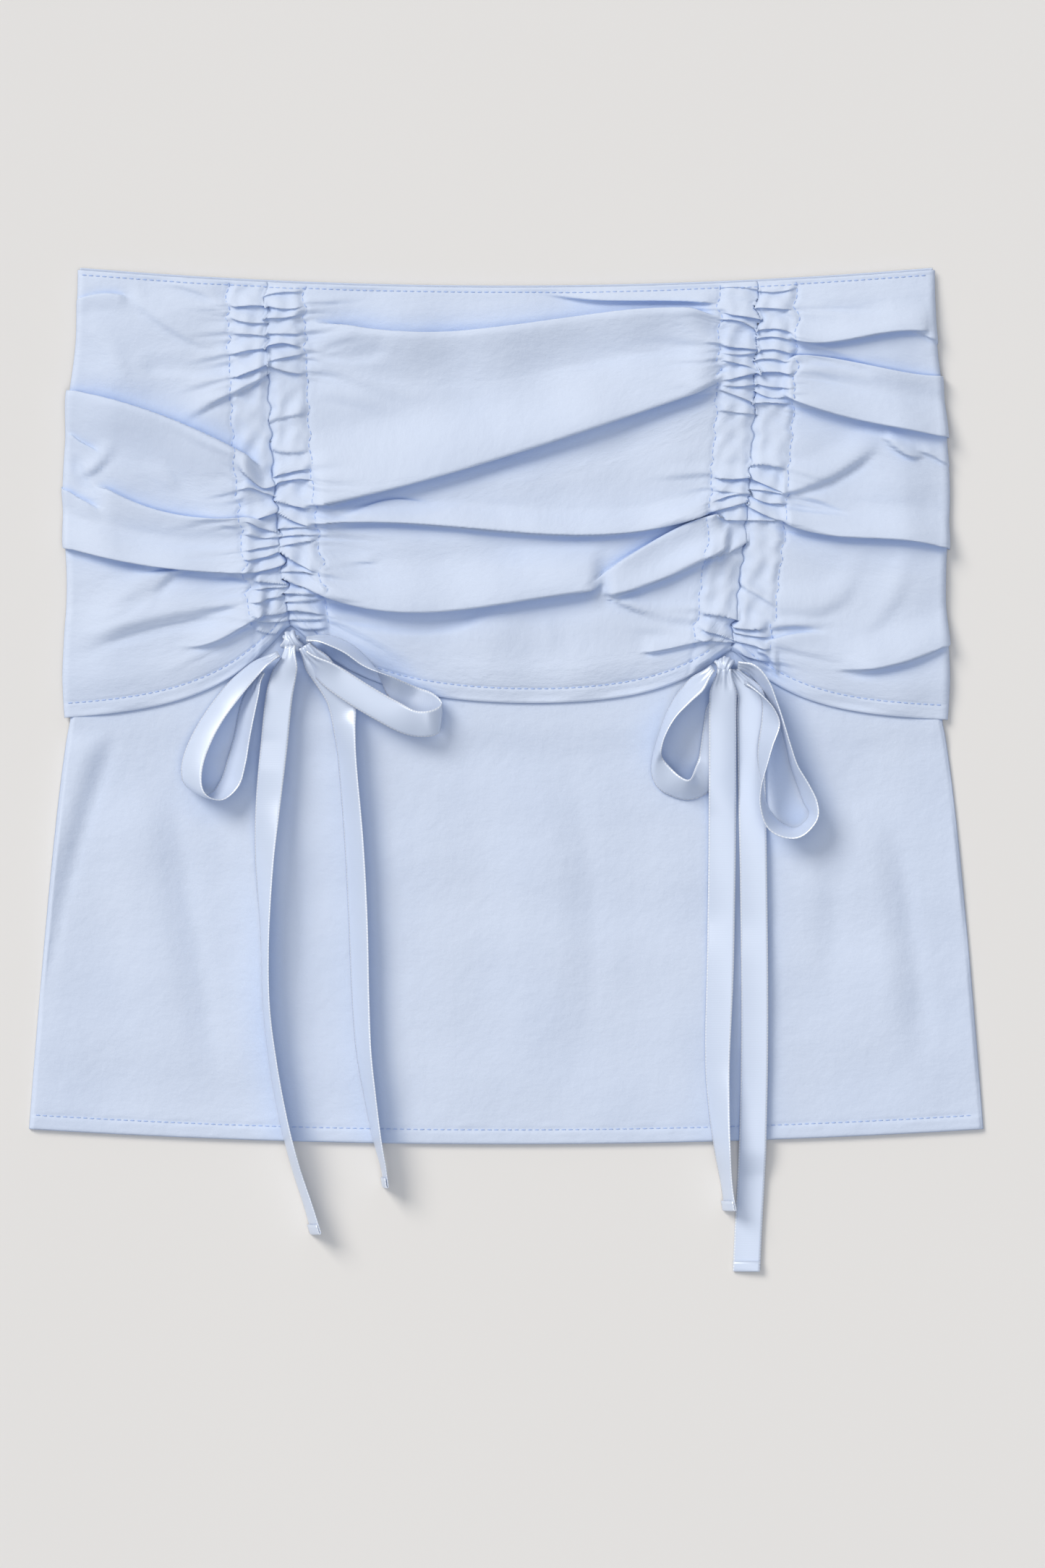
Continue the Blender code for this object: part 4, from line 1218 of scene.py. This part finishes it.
    def stitch_routes(self) -> list[Array]:
        """Find the rows of topstitching: both casings of each channel, the hems and the waist.

        Returns:
            Rows of x, down and z in millimetres, one array for each row of stitches.
        """
        routes = []
        for channel in (LEFT, RIGHT):
            down = np.arange(3.0, channel.end_down, 0.4)
            for side in (-1, 1):
                x = channel.seam(down) + side * channel.casing
                inside = down < SKIRT.overlay_hem(x, down) - 1.0
                inside &= down > SKIRT.waist(x) + 1.0
                routes.append(self.surface(x[inside], down[inside]))
        for start, end, hem in ((-188.0, -97.0, SKIRT.left_hem), (-84.0, 88.0, SKIRT.centre_hem),
                                (105.0, 188.0, SKIRT.right_hem)):
            x = np.arange(start, end, 0.5)
            routes.append(self.surface(x, hem(x) - self.hem.stitch))
        x = np.arange(-182.0, 182.0, 0.5)
        routes.append(self.surface(x, SKIRT.waist(x) + self.waist.stitch))
        for route in routes:
            route[:, 2] += self.stitching.stands
        return routes

    def build(self) -> None:
        """Build the overlay and hide the solids that its pieces stand for."""
        stitches = self.stitching.sew("stitches_overlay", self.stitch_routes())
        for side, node, flat, area in (
                (Side.LEFT, "overlay_side_front_left", (0.1, 0.235), 0.0215),
                (Side.CENTRE, "overlay_centre_front", (0.225, 0.235), 0.0475),
                (Side.RIGHT, "overlay_side_front_right", (0.1, 0.235), 0.0215)):
            panel = self.panel(side)
            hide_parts(node)
        back = self.back()
        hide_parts("overlay_back")


@dataclass(frozen=True)
class Underskirt:
    """The flared underskirt: a front that shows below the overlay, and a plain back."""

    cloth: bpy.types.Material
    back_cloth: bpy.types.Material
    stitching: Stitching
    thickness: float = 0.5
    side_roll: float = 2.0
    hem: Turning = Turning(6.2, 0.3, 0.3, 0.9, 0.5, 1.0)
    over_hem_of_back: float = 1.5
    side_gap: float = 0.45
    side_overlap: float = 0.35
    hem_calm: float = 14.0
    pucker_width: float = 4.0
    ripples: Ripples = Ripples(seed=11, height=0.42, shortest=30.0, longest=110.0)
    puckers: Ripples = Ripples(seed=2, height=0.1, shortest=4.0, longest=9.0)

    def surface(self, x: Array, down: Array) -> Array:
        """Lay the front at places of the pattern.

        Args:
            x: places to the viewer's right.
            down: the same places' distances below the waist.

        Returns:
            Rows of x, down and z in millimetres, pulled over where a fold leans.
        """
        from_hem = SKIRT.underskirt_hem(x) - down
        step = SKIRT.step(down)
        open_cloth = (1.0 - step) * smooth(from_hem / self.hem_calm)
        z = SKIRT.underskirt_low + (SKIRT.underskirt_high - SKIRT.underskirt_low) * step
        folds = relief(UNDERSKIRT_FOLDS, x, down)
        z = z + (folds.height + self.ripples.rise(x, down) + 0.2) * open_cloth
        z = z + self.hem.shape(from_hem)
        z = z + self.puckers.rise(x, down) * groove(from_hem - self.hem.stitch, self.pucker_width)
        return np.column_stack([x + folds.pull_x * open_cloth, down, z])

    def layer(self, name: str, front: bool) -> bpy.types.Object:
        """Build the front or the back; each turns towards the other at the side seams.

        Args:
            name: the piece's name.
            front: whether it is the front.

        Returns:
            The piece.
        """
        def place(column: Array, row: Array) -> Array:
            """Lay the grid's points, with their folds and turned edges.

            Args:
                column: the points' columns, in millimetres of the grid's width.
                row: their rows, in millimetres of its length.

            Returns:
                Rows of x, down and z in millimetres.
            """
            x, down = settle(column / columns[-1], row / rows[-1], lambda low: -SKIRT.underskirt_side(low),
                             SKIRT.underskirt_side, SKIRT.waist, SKIRT.underskirt_hem)
            turned = 1.0 - smooth((SKIRT.underskirt_side(down) - np.abs(x)) / self.side_roll)
            floor = self.over_hem_of_back * SKIRT.step(down)
            seam = floor + self.thickness + self.side_gap
            if front:
                places = self.surface(x, down)
                places[:, 2] += (seam + self.side_overlap - places[:, 2]) * turned
                return places
            crease = relief(UNDERSKIRT_BACK_FOLDS, x, down).height * (1.0 - SKIRT.step(down))
            lying = floor + self.thickness + crease
            return np.column_stack([x, down, lying + (seam - lying) * turned])

        columns = steps_through((3.0, 0.6), (407.0, 2.6), (410.0, 0.6)) if front else steps_through(
            (3.0, 1.0), (407.0, 4.0), (410.0, 1.0))
        rows = steps_through((180.0, 9.0), (360.0, 2.4), (376.0, 0.7)) if front else steps_through(
            (190.0, 9.0), (212.0, 2.5), (376.0, 5.0))
        return lay_cloth(name, columns, rows, place, self.thickness,
                         self.cloth if front else self.back_cloth)

    def build(self) -> None:
        """Build the underskirt and hide the solids that its pieces stand for."""
        x = np.arange(-202.0, 202.0, 0.5)
        route = self.surface(x, SKIRT.underskirt_hem(x) - self.hem.stitch)
        route[:, 2] += self.stitching.stands
        stitches = self.stitching.sew("stitches_underskirt", [route])
        front = self.layer("cloth_underskirt_front", True)
        back = self.layer("cloth_underskirt_back", False)
        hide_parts("underskirt_front")
        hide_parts("underskirt_back")


class Station(NamedTuple):
    """One place along a ribbon: its centre, its height over the cloth, and which way its width lies.

    turn is the width's direction seen from above, in degrees from the viewer's right towards the
    waist. tilt is how far the width stands up from flat.
    """

    x: float
    down: float
    lift: float
    turn: float
    tilt: float


def passing(*rows: tuple[float, float, float, float, float]) -> list[Station]:
    """Turn rows of x, down, lift, turn and tilt into stations."""
    return [Station(*row) for row in rows]


LEFT_LOOP_OUTER = passing(
    (-97.2, 166.2, 0.4, -58, 70), (-101.6, 168.4, 0.4, -45, 64), (-106.4, 171.2, 0.4, -22, 56),
    (-116.4, 181.2, 0.6, -8, 36), (-126.8, 195.6, 2.4, -4, 35), (-133.3, 209.6, 4.2, -4, 35),
    (-134.5, 219.8, 4.8, -8, 42), (-131.1, 225.7, 4.0, -16, 54), (-124.3, 227.2, 1.6, -20, 54),
    (-118.4, 221.3, 0.4, -18, 44), (-115.6, 212.7, 0.4, -12, 45), (-113.2, 201.8, 0.4, -2, 52),
    (-110.7, 189.4, 0.6, -2, 52), (-107.6, 179.5, 0.6, -4, 62), (-104.4, 173.9, 0.6, -10, 76),
)
LEFT_LOOP_INNER = passing(
    (-86.0, 165.4, 1.0, 40, 66), (-80.2, 171.2, 2.2, 40, 44), (-71.9, 177.4, 5.4, 40, 12),
    (-62.0, 184.0, 7.0, 45, 6), (-51.0, 190.4, 7.2, 50, 8), (-40.8, 195.4, 6.6, 74, 22),
    (-32.6, 195.8, 6.2, 86, 18), (-28.0, 193.0, 3.6, 86, 6), (-31.8, 188.6, 1.2, 86, 8),
    (-40.4, 185.4, 0.8, 76, 14), (-48.0, 181.0, 2.4, 68, 40), (-54.4, 174.4, 2.0, 62, 86),
    (-60.6, 169.4, 0.4, 58, 108), (-68.4, 163.4, 0.4, 60, 113), (-77.6, 159.8, 0.4, 84, 111),
    (-85.4, 160.0, 0.8, 92, 104),
)
LEFT_TAIL_OUTER = passing(
    (-93.2, 168.2, 0.4, 0, 40), (-95.4, 176.0, 0.4, 0, 18), (-97.4, 186.0, 0.4, 0, 8),
    (-99.4, 206.0, 0.4, 0, 9), (-102.0, 232.0, 0.4, 0, 26), (-103.4, 256.0, 0.4, 0, 48),
    (-103.2, 286.0, 0.4, 0, 71), (-102.6, 316.0, 0.4, 4, 75), (-99.6, 342.0, 0.4, 8, 73),
    (-95.2, 366.0, 0.4, 10, 72), (-90.2, 386.0, 0.6, 10, 71), (-85.0, 402.0, 0.4, 8, 70),
    (-81.4, 414.0, 0.4, 8, 68),
)
LEFT_TAIL_INNER = passing(
    (-73.6, 180.6, 0.4, 30, 10), (-70.2, 189.0, 0.4, 10, 16), (-69.4, 197.0, 0.4, 0, 34),
    (-68.0, 212.0, 0.4, 0, 48), (-65.2, 246.0, 0.4, 0, 46), (-63.4, 280.0, 0.4, 0, 46),
    (-62.4, 312.0, 0.4, 0, 50), (-61.0, 336.0, 0.4, 4, 56), (-58.2, 356.0, 0.4, 6, 64),
    (-55.2, 374.0, 0.4, 8, 72), (-52.6, 386.0, 0.6, 8, 78), (-51.4, 394.0, 0.4, 4, 80),
)
RIGHT_LOOP_INNER = passing(
    (88.6, 172.2, 0.8, -60, 66), (83.1, 177.6, 1.6, -53, 50), (76.0, 184.8, 1.6, -40, 56),
    (70.4, 192.6, 1.2, -26, 70), (66.4, 201.8, 0.8, 0, 78), (64.6, 208.8, 0.6, 40, 68),
    (64.6, 214.0, 0.6, 66, 36), (67.6, 218.8, 0.6, 64, 28), (72.6, 222.6, 0.6, 62, 40),
    (78.2, 224.0, 0.5, 84, 42), (84.0, 220.4, 0.5, 130, 20), (88.0, 212.6, 0.3, 166, 2),
    (90.0, 200.2, 0.3, 172, 0), (91.6, 188.0, 0.3, 176, 0), (92.2, 180.6, 0.3, 180, 0),
)
RIGHT_LOOP_OUTER = passing(
    (99.2, 170.6, 0.4, 88, 62), (104.8, 172.4, 0.4, 70, 62), (110.6, 178.8, 0.4, 42, 70),
    (114.4, 186.3, 0.4, 30, 78), (117.8, 195.6, 2.0, 20, 82), (120.6, 204.9, 2.4, 20, 82),
    (123.4, 214.2, 2.2, 20, 78), (127.1, 222.0, 2.0, 10, 68), (130.2, 229.4, 1.8, 0, 62),
    (131.4, 235.8, 1.6, -30, 72), (126.5, 241.6, 1.4, -60, 70), (120.9, 242.4, 1.2, -88, 64),
    (114.1, 238.8, 2.4, -130, 60), (110.2, 231.2, 3.6, -165, 73), (109.4, 222.9, 4.2, -180, 84),
    (109.8, 212.7, 4.4, -184, 108), (111.0, 204.9, 4.0, -186, 120), (113.2, 195.6, 3.6, -190, 130),
    (111.9, 187.9, 3.6, -210, 116), (107.9, 182.6, 3.4, -230, 108), (102.4, 178.6, 3.0, -240, 106),
)
RIGHT_TAIL_INNER = passing(
    (93.0, 178.4, 2.6, 0, -4), (92.7, 190.0, 2.6, 0, -6), (92.7, 206.0, 2.6, 0, -6),
    (92.7, 222.0, 2.4, 0, -6), (92.7, 240.0, 0.6, 0, 2), (92.5, 262.0, 0.4, 0, 8),
    (91.8, 300.0, 0.4, 0, 12), (90.6, 338.0, 0.4, 0, 28), (91.2, 360.0, 0.4, 4, 42),
    (92.6, 378.0, 0.6, 6, 56), (94.6, 394.0, 0.4, 6, 68), (96.0, 404.0, 0.4, 6, 66),
)
RIGHT_TAIL_OUTER = passing(
    (104.4, 182.0, 0.5, 0, 0), (104.8, 192.0, 0.4, 0, 0), (105.2, 214.0, 0.3, 0, 0),
    (105.6, 234.0, 0.3, 0, 2), (106.0, 256.0, 0.4, 0, 10), (106.5, 300.0, 0.4, 0, 12),
    (106.5, 338.0, 0.4, 0, 12), (105.9, 370.0, 0.4, 0, 10), (105.2, 390.0, 0.5, 0, 8),
    (104.0, 412.0, 0.4, 0, 6), (103.2, 430.4, 0.4, 0, 6),
)


class Ending(Enum):
    """How a ribbon's last end looks: drawn into the knot, or folded under and stitched."""

    KNOT = "knot"
    FOLDED = "folded"


@dataclass(frozen=True)
class Knot:
    """The knot of a bow, in millimetres."""

    x: float
    down: float
    width: float
    length: float
    height: float
    twist: float


LEFT_KNOT = Knot(-91.8, 160.9, 8.0, 9.4, 7.6, 32.0)
RIGHT_KNOT = Knot(93.6, 170.9, 7.4, 8.0, 7.4, -24.0)


@dataclass(frozen=True)
class Garment:
    """The skirt's whole top side, which the ribbons lie on."""

    overlay: Overlay
    underskirt: Underskirt
    hem_climb: float = 5.0
    hem_landing: float = 9.0

    def top(self, x: Array, down: Array) -> Array:
        """Find the height of whatever lies on top, or of the table past the hem.

        Args:
            x: places to the viewer's right.
            down: the same places' distances below the waist.

        Returns:
            The height at each place, in millimetres.
        """
        past_hem = smooth((down - SKIRT.underskirt_hem(x) - 1.5) / self.hem_landing)
        inside = np.minimum(down, SKIRT.underskirt_hem(x) - 1.0)
        low = self.underskirt.surface(x, inside)[:, 2] * (1.0 - past_hem)
        hem = SKIRT.overlay_hem(x, down)
        high = self.overlay.surface(x, np.minimum(down, hem - 1.2))[:, 2]
        return low + (high - low) * smooth((hem - down) / self.hem_climb + 1.0)


def with_neighbours(values: Array, reach: int, join: Callable[..., Array]) -> Array:
    """Join each value with those up to reach away from it, as their highest or their mean."""
    padded = np.pad(values, reach, mode="edge")
    return join([padded[shift:shift + len(values)] for shift in range(2 * reach + 1)], axis=0)


@dataclass(frozen=True)
class Ribbon:
    """A stretch of the satin drawstring: a loop of a bow, or a tail with its folded tip."""

    garment: Garment
    satin: bpy.types.Material
    width: float = 11.8
    thickness: float = 0.36
    row_step: float = 1.3
    cup: float = 0.45
    pinch_length: float = 11.0
    pinch: float = 0.5
    pleat: float = 0.8
    pleats: float = 2.5
    columns: int = 10
    turn_rows: int = 5
    fold_radius: float = 0.42
    fold_back: float = 4.2
    loop_fall: float = 0.15
    tail_fall: float = 0.085
    last_fall: float = 0.25

    def route(self, stations: list[Station], ending: Ending) -> tuple[Array, Array]:
        """Follow the stations in even steps.

        Args:
            stations: the places that the ribbon passes.
            ending: how its last end looks; a tail falls more slowly than a loop, but for its free end.

        Returns:
            Its centres as x, down and z, and half its width as vectors with y towards the waist.
        """
        table = np.array(stations)
        table = np.vstack([table[0], table, table[-1]])
        before, start, end, after = table[:-3], table[1:-2], table[2:-1], table[3:]
        fine = []
        for step in np.linspace(0.0, 1.0, 24, endpoint=False):
            fine.append(0.5 * (2 * start + (end - before) * step
                               + (2 * before - 5 * start + 4 * end - after) * step ** 2
                               + (3 * start - before - 3 * end + after) * step ** 3))
        path = np.vstack([np.stack(fine, axis=1).reshape(-1, 5), table[-1]])
        gone = np.concatenate([[0.0], np.cumsum(np.hypot(*np.diff(path[:, :2], axis=0).T))])
        even = np.linspace(0.0, gone[-1], round(gone[-1] / self.row_step) + 1)
        x, down, lift, turn, tilt = (np.interp(even, gone, path[:, part]) for part in range(5))
        turn, tilt = np.radians(turn), np.radians(tilt)
        half = np.column_stack([np.cos(tilt) * np.cos(turn), np.cos(tilt) * np.sin(turn),
                                np.sin(tilt)]) * self.width / 2
        ground = np.max([self.garment.top(x + half[:, 0] * side, down - half[:, 1] * side)
                         for side in (-1.05, -0.5, 0.0, 0.5, 1.05)], axis=0)
        ground = with_neighbours(with_neighbours(ground, 3, np.max), 3, np.mean)
        steep = np.where(down > SKIRT.underskirt_hem(x) - 4.0, self.last_fall,
                         self.tail_fall if ending is Ending.FOLDED else self.loop_fall)
        fallen = np.cumsum(steep) * (even[1] - even[0])
        ground = np.max(ground - np.abs(fallen[:, None] - fallen), axis=1)
        z = ground + lift + np.abs(half[:, 2]) + self.thickness
        return np.column_stack([x, down, z]), half

    def weave(self, name: str, node: str, stations: list[Station], ending: Ending, exit_at: Knot
              ) -> bpy.types.Object:
        """Args:
            name: the piece's name.
            node: the solid that it stands for.
            stations: the places that it passes, from the knot on.
            ending: how its last end looks.
            exit_at: the knot that it comes out of; not used.

        Returns:
            The ribbon.
        """
        centres, half = self.route(stations, ending)
        flip = np.array([1.0, -1.0, 1.0])
        along = np.gradient(centres * flip, axis=0)
        along = along / np.linalg.norm(along, axis=1)[:, None]
        face = np.cross(along, half)
        face = face / np.linalg.norm(face, axis=1)[:, None]
        count = len(centres)
        gone = np.arange(count) * self.row_step
        drawn = 1.0 - smooth(gone / self.pinch_length)
        if ending is Ending.KNOT:
            drawn = np.maximum(drawn, 1.0 - smooth((gone[-1] - gone) / self.pinch_length))
        back_rows = 0
        if ending is Ending.FOLDED:
            back_rows = self.turn_rows + round(self.fold_back / self.row_step)
        length = gone[-1] + back_rows * self.row_step
        rows = np.linspace(0.0, length, count + back_rows)
        columns = np.linspace(0.0, self.width, self.columns + 1)

        def place(column: Array, row: Array) -> Array:
            """Spread the width at each centre: cupped, pleated at a knot, folded back past its end.

            Args:
                column: the points' columns, in millimetres of the grid's width.
                row: their rows, in millimetres of its length.

            Returns:
                Rows of x, down and z in millimetres.
            """
            index = np.clip(np.round(row / length * (len(rows) - 1)).astype(int), 0, len(rows) - 1)
            inside = np.minimum(index, count - 1)
            share = column / self.width * 2.0 - 1.0
            tight = drawn[inside]
            bowed = self.cup * (1.0 - share ** 2) * (1.0 - tight)
            bowed = bowed + self.pleat * tight * np.cos(share * self.pleats * math.pi)
            out = half[inside] * (share * (1.0 - self.pinch * tight))[:, None]
            points = centres[inside] * flip + out + face[inside] * bowed[:, None]
            past = index - (count - 1)
            turning = np.clip(past / self.turn_rows, 0.0, 1.0) * math.pi
            back = np.maximum(past - self.turn_rows, 0) * self.row_step
            forward = self.fold_radius * np.sin(turning) - back
            raised = self.fold_radius * (1.0 - np.cos(turning))
            upward = np.sign(face[inside][:, 2:3]) * face[inside]
            points = points + along[inside] * np.where(past > 0, forward, 0.0)[:, None]
            points = points + upward * np.where(past > 0, raised, 0.0)[:, None]
            return points * flip

        ribbon = lay_cloth(name, columns, rows, place, self.thickness, self.satin, 1.0)
        ribbon.modifiers["wall"].offset = 0.0
        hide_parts(node)
        return ribbon


@dataclass(frozen=True)
class Bow:
    """A bow with its knot, two loops and two tails, in millimetres.

    A tail starts tail_start of the way from the knot to its first station, and stands up to
    tail_lift over it until it has settled. outer_arch is how high the outer tail arches besides.
    """

    name: str
    knot: Knot
    ribbon: Ribbon
    outer_loop: list[Station]
    inner_loop: list[Station]
    outer_tail: list[Station]
    inner_tail: list[Station]
    tail_start: float = 0.3
    tail_lift: float = 2.4
    tail_settled: float = 50.0
    outer_arch: float = 0.0
    arch_from_knot: float = 42.0
    arch_length: float = 40.0

    def wrap(self, name: str, across: float, reach: float, size: float, twist: float) -> bpy.types.Object:
        """Wind one crumpled turn of ribbon round the knot.

        Args:
            name: the piece's name.
            across: where the turn's middle lies, in millimetres right of the knot's centre.
            reach: the turn's width in millimetres.
            size: its girth as a share of the knot's.
            twist: how far it slants, in degrees.

        Returns:
            The turn.
        """
        knot = self.knot
        floor = float(self.ribbon.garment.top(np.array([knot.x]), np.array([knot.down]))[0]) + 0.3
        centre = Vector((knot.x, SKIRT.length / 2 - knot.down, floor + knot.height / 2))
        turn = Matrix.Rotation(math.radians(twist), 3, "Z")
        band = bmesh.new()
        layer = band.loops.layers.uv.new("cloth")
        bmesh.ops.create_grid(band, x_segments=14, y_segments=48, size=1.0, calc_uvs=True)
        for vertex in band.verts:
            share, angle = vertex.co.x, (vertex.co.y + 1.0) * math.pi
            ridges = 1.0 + 0.09 * math.cos(share * 7.5 + math.sin(angle) * 1.4) - 0.3 * share ** 4
            place = Vector((across + share * reach / 2 * (1.0 - 0.25 * math.sin(angle) ** 2),
                            math.cos(angle) * knot.length / 2 * size * ridges,
                            math.sin(angle) * knot.height / 2 * size * ridges))
            vertex.co = (centre + turn @ place) * MM
        bmesh.ops.remove_doubles(band, verts=band.verts, dist=1e-6)
        bmesh.ops.recalc_face_normals(band, faces=band.faces)
        piece = new_piece(name, band, self.ribbon.satin)
        add_wall(piece, self.ribbon.thickness)
        return piece

    def build(self) -> None:
        """Build the bow's ribbons first, then its knot."""
        parts = ((self.outer_loop, "bow_loop_outer", Ending.KNOT),
                 (self.inner_loop, "bow_loop_inner", Ending.KNOT),
                 (self.outer_tail, "tail_outer", Ending.FOLDED),
                 (self.inner_tail, "tail_inner", Ending.FOLDED))
        for stations, part, ending in parts:
            if ending is Ending.FOLDED:
                first = stations[0]
                start = (1.0 - self.tail_start) * self.knot.x + self.tail_start * first.x
                stations = [first._replace(x=start, down=self.knot.down + 1.5)] + stations
                gone = np.array([place.down for place in stations]) - self.knot.down
                lifts = self.tail_lift * smooth(1.0 - gone / self.tail_settled)
                if stations[-1] is self.outer_tail[-1]:
                    lifts = lifts + self.outer_arch * groove(gone - self.arch_from_knot, self.arch_length)
                stations = [place._replace(lift=place.lift + float(lift))
                            for place, lift in zip(stations, lifts)]
            self.ribbon.weave(f"ribbon_{self.name}_{part}", f"{self.name}_{part}", stations, ending,
                              self.knot)
        width = self.knot.width
        main_turn = self.wrap(f"knot_{self.name}", across=0.6, reach=width * 0.78, size=1.0,
                              twist=self.knot.twist)
        self.wrap(f"knot_turn_{self.name}", across=-0.8, reach=width * 0.9, size=0.84,
                  twist=-0.6 * self.knot.twist)
        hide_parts(f"{self.name}_bow_knot")


@dataclass(frozen=True)
class Studio:
    """A pale table, soft light from the upper left and a camera straight above."""

    view_x_mm: float = 6.98
    view_y_mm: float = -33.5
    view_height_mm: float = 672.1
    lens_mm: float = 150.0
    sensor_mm: float = 36.0
    cloth_height_mm: float = 6.0
    table_size: float = 6.0
    key_strength: float = 2.1
    key_spread: float = 0.5
    key_tint: tuple[float, float, float] = (1.06, 1.02, 0.95)
    kick_strength: float = 0.32
    kick_spread: float = 0.45
    softbox_power: float = 22.0
    softbox_size: float = 2.4
    softbox_height: float = 3.4
    sky_strength: float = 0.34
    sky_tint: tuple[float, float, float] = (0.86, 0.94, 1.09)

    def place_camera(self) -> None:
        """Hang the camera over the skirt, where a long lens takes in the photograph's frame."""
        lens = bpy.data.cameras.new("camera")
        lens.sensor_fit = "VERTICAL"
        lens.sensor_height = self.sensor_mm
        lens.lens = self.lens_mm
        camera = new_object("camera", lens)
        away = self.view_height_mm * self.lens_mm / self.sensor_mm
        camera.location = (self.view_x_mm * MM, self.view_y_mm * MM, (away + self.cloth_height_mm) * MM)
        bpy.context.scene.camera = camera

    def light(self) -> None:
        """Light the table mostly from the upper left, with a softbox overhead and an even sky."""
        scene = bpy.context.scene
        world = bpy.data.worlds.new("studio")
        world.use_nodes = True
        sky = world.node_tree.nodes["Background"]
        sky.inputs["Color"].default_value = (*self.sky_tint, 1.0)
        sky.inputs["Strength"].default_value = self.sky_strength
        scene.world = world
        for name, strength, spread, place, colour in (
                ("key", self.key_strength, self.key_spread, (-1.0, 1.0, 1.1), self.key_tint),
                ("kick", self.kick_strength, self.kick_spread, (0.2, -0.62, 1.3), (1.0, 1.0, 1.0))):
            lamp = bpy.data.lights.new(name, "SUN")
            lamp.energy, lamp.angle, lamp.color = strength, spread, colour
            distant = new_object(name, lamp)
            distant.location = place
            distant.rotation_euler = (-distant.location).to_track_quat("-Z", "Y").to_euler()
        box = bpy.data.lights.new("softbox", "AREA")
        box.shape, box.size, box.energy = "SQUARE", self.softbox_size, self.softbox_power
        new_object("softbox", box).location = (0.0, 0.0, self.softbox_height)
        scene.view_settings.view_transform = "Standard"

    def lay_table(self) -> None:
        """Lay the pale table under the skirt."""
        top = bmesh.new()
        bmesh.ops.create_grid(top, x_segments=2, y_segments=2, size=self.table_size / 2)
        paint = PlainFinish("matt painted table", "#E5E2DE", 0.9, 300.0).build()
        new_shape("table", top, paint)


def main() -> None:
    """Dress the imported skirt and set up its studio."""
    logging.basicConfig(level=logging.INFO, format="%(message)s")
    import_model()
    studio = Studio()
    studio.place_camera()
    crepe = CrepeFinish().build()
    # The backs' crepe has no painted hollow shade.
    back = CrepeFinish(name="washed cotton crepe, flat", folded=False).build()
    # The thread's darker blue is painted shade for the shadows round the stitches; the real thread is the
    # cloth's colour.
    stitching = Stitching(PlainFinish("cotton sewing thread", "#A9BEE6", 0.7, 2.0).build())
    garment = Garment(Overlay(crepe, back, stitching), Underskirt(crepe, back, stitching))
    ribbon = Ribbon(garment, SatinFinish().build())
    Bow("left", LEFT_KNOT, ribbon, LEFT_LOOP_OUTER, LEFT_LOOP_INNER, LEFT_TAIL_OUTER,
        LEFT_TAIL_INNER, outer_arch=5.0).build()
    Bow("right", RIGHT_KNOT, ribbon, RIGHT_LOOP_OUTER, RIGHT_LOOP_INNER, RIGHT_TAIL_OUTER,
        RIGHT_TAIL_INNER).build()
    garment.underskirt.build()
    garment.overlay.build()
    studio.lay_table()
    studio.light()
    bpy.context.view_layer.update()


if __name__ == "__main__":
    main()
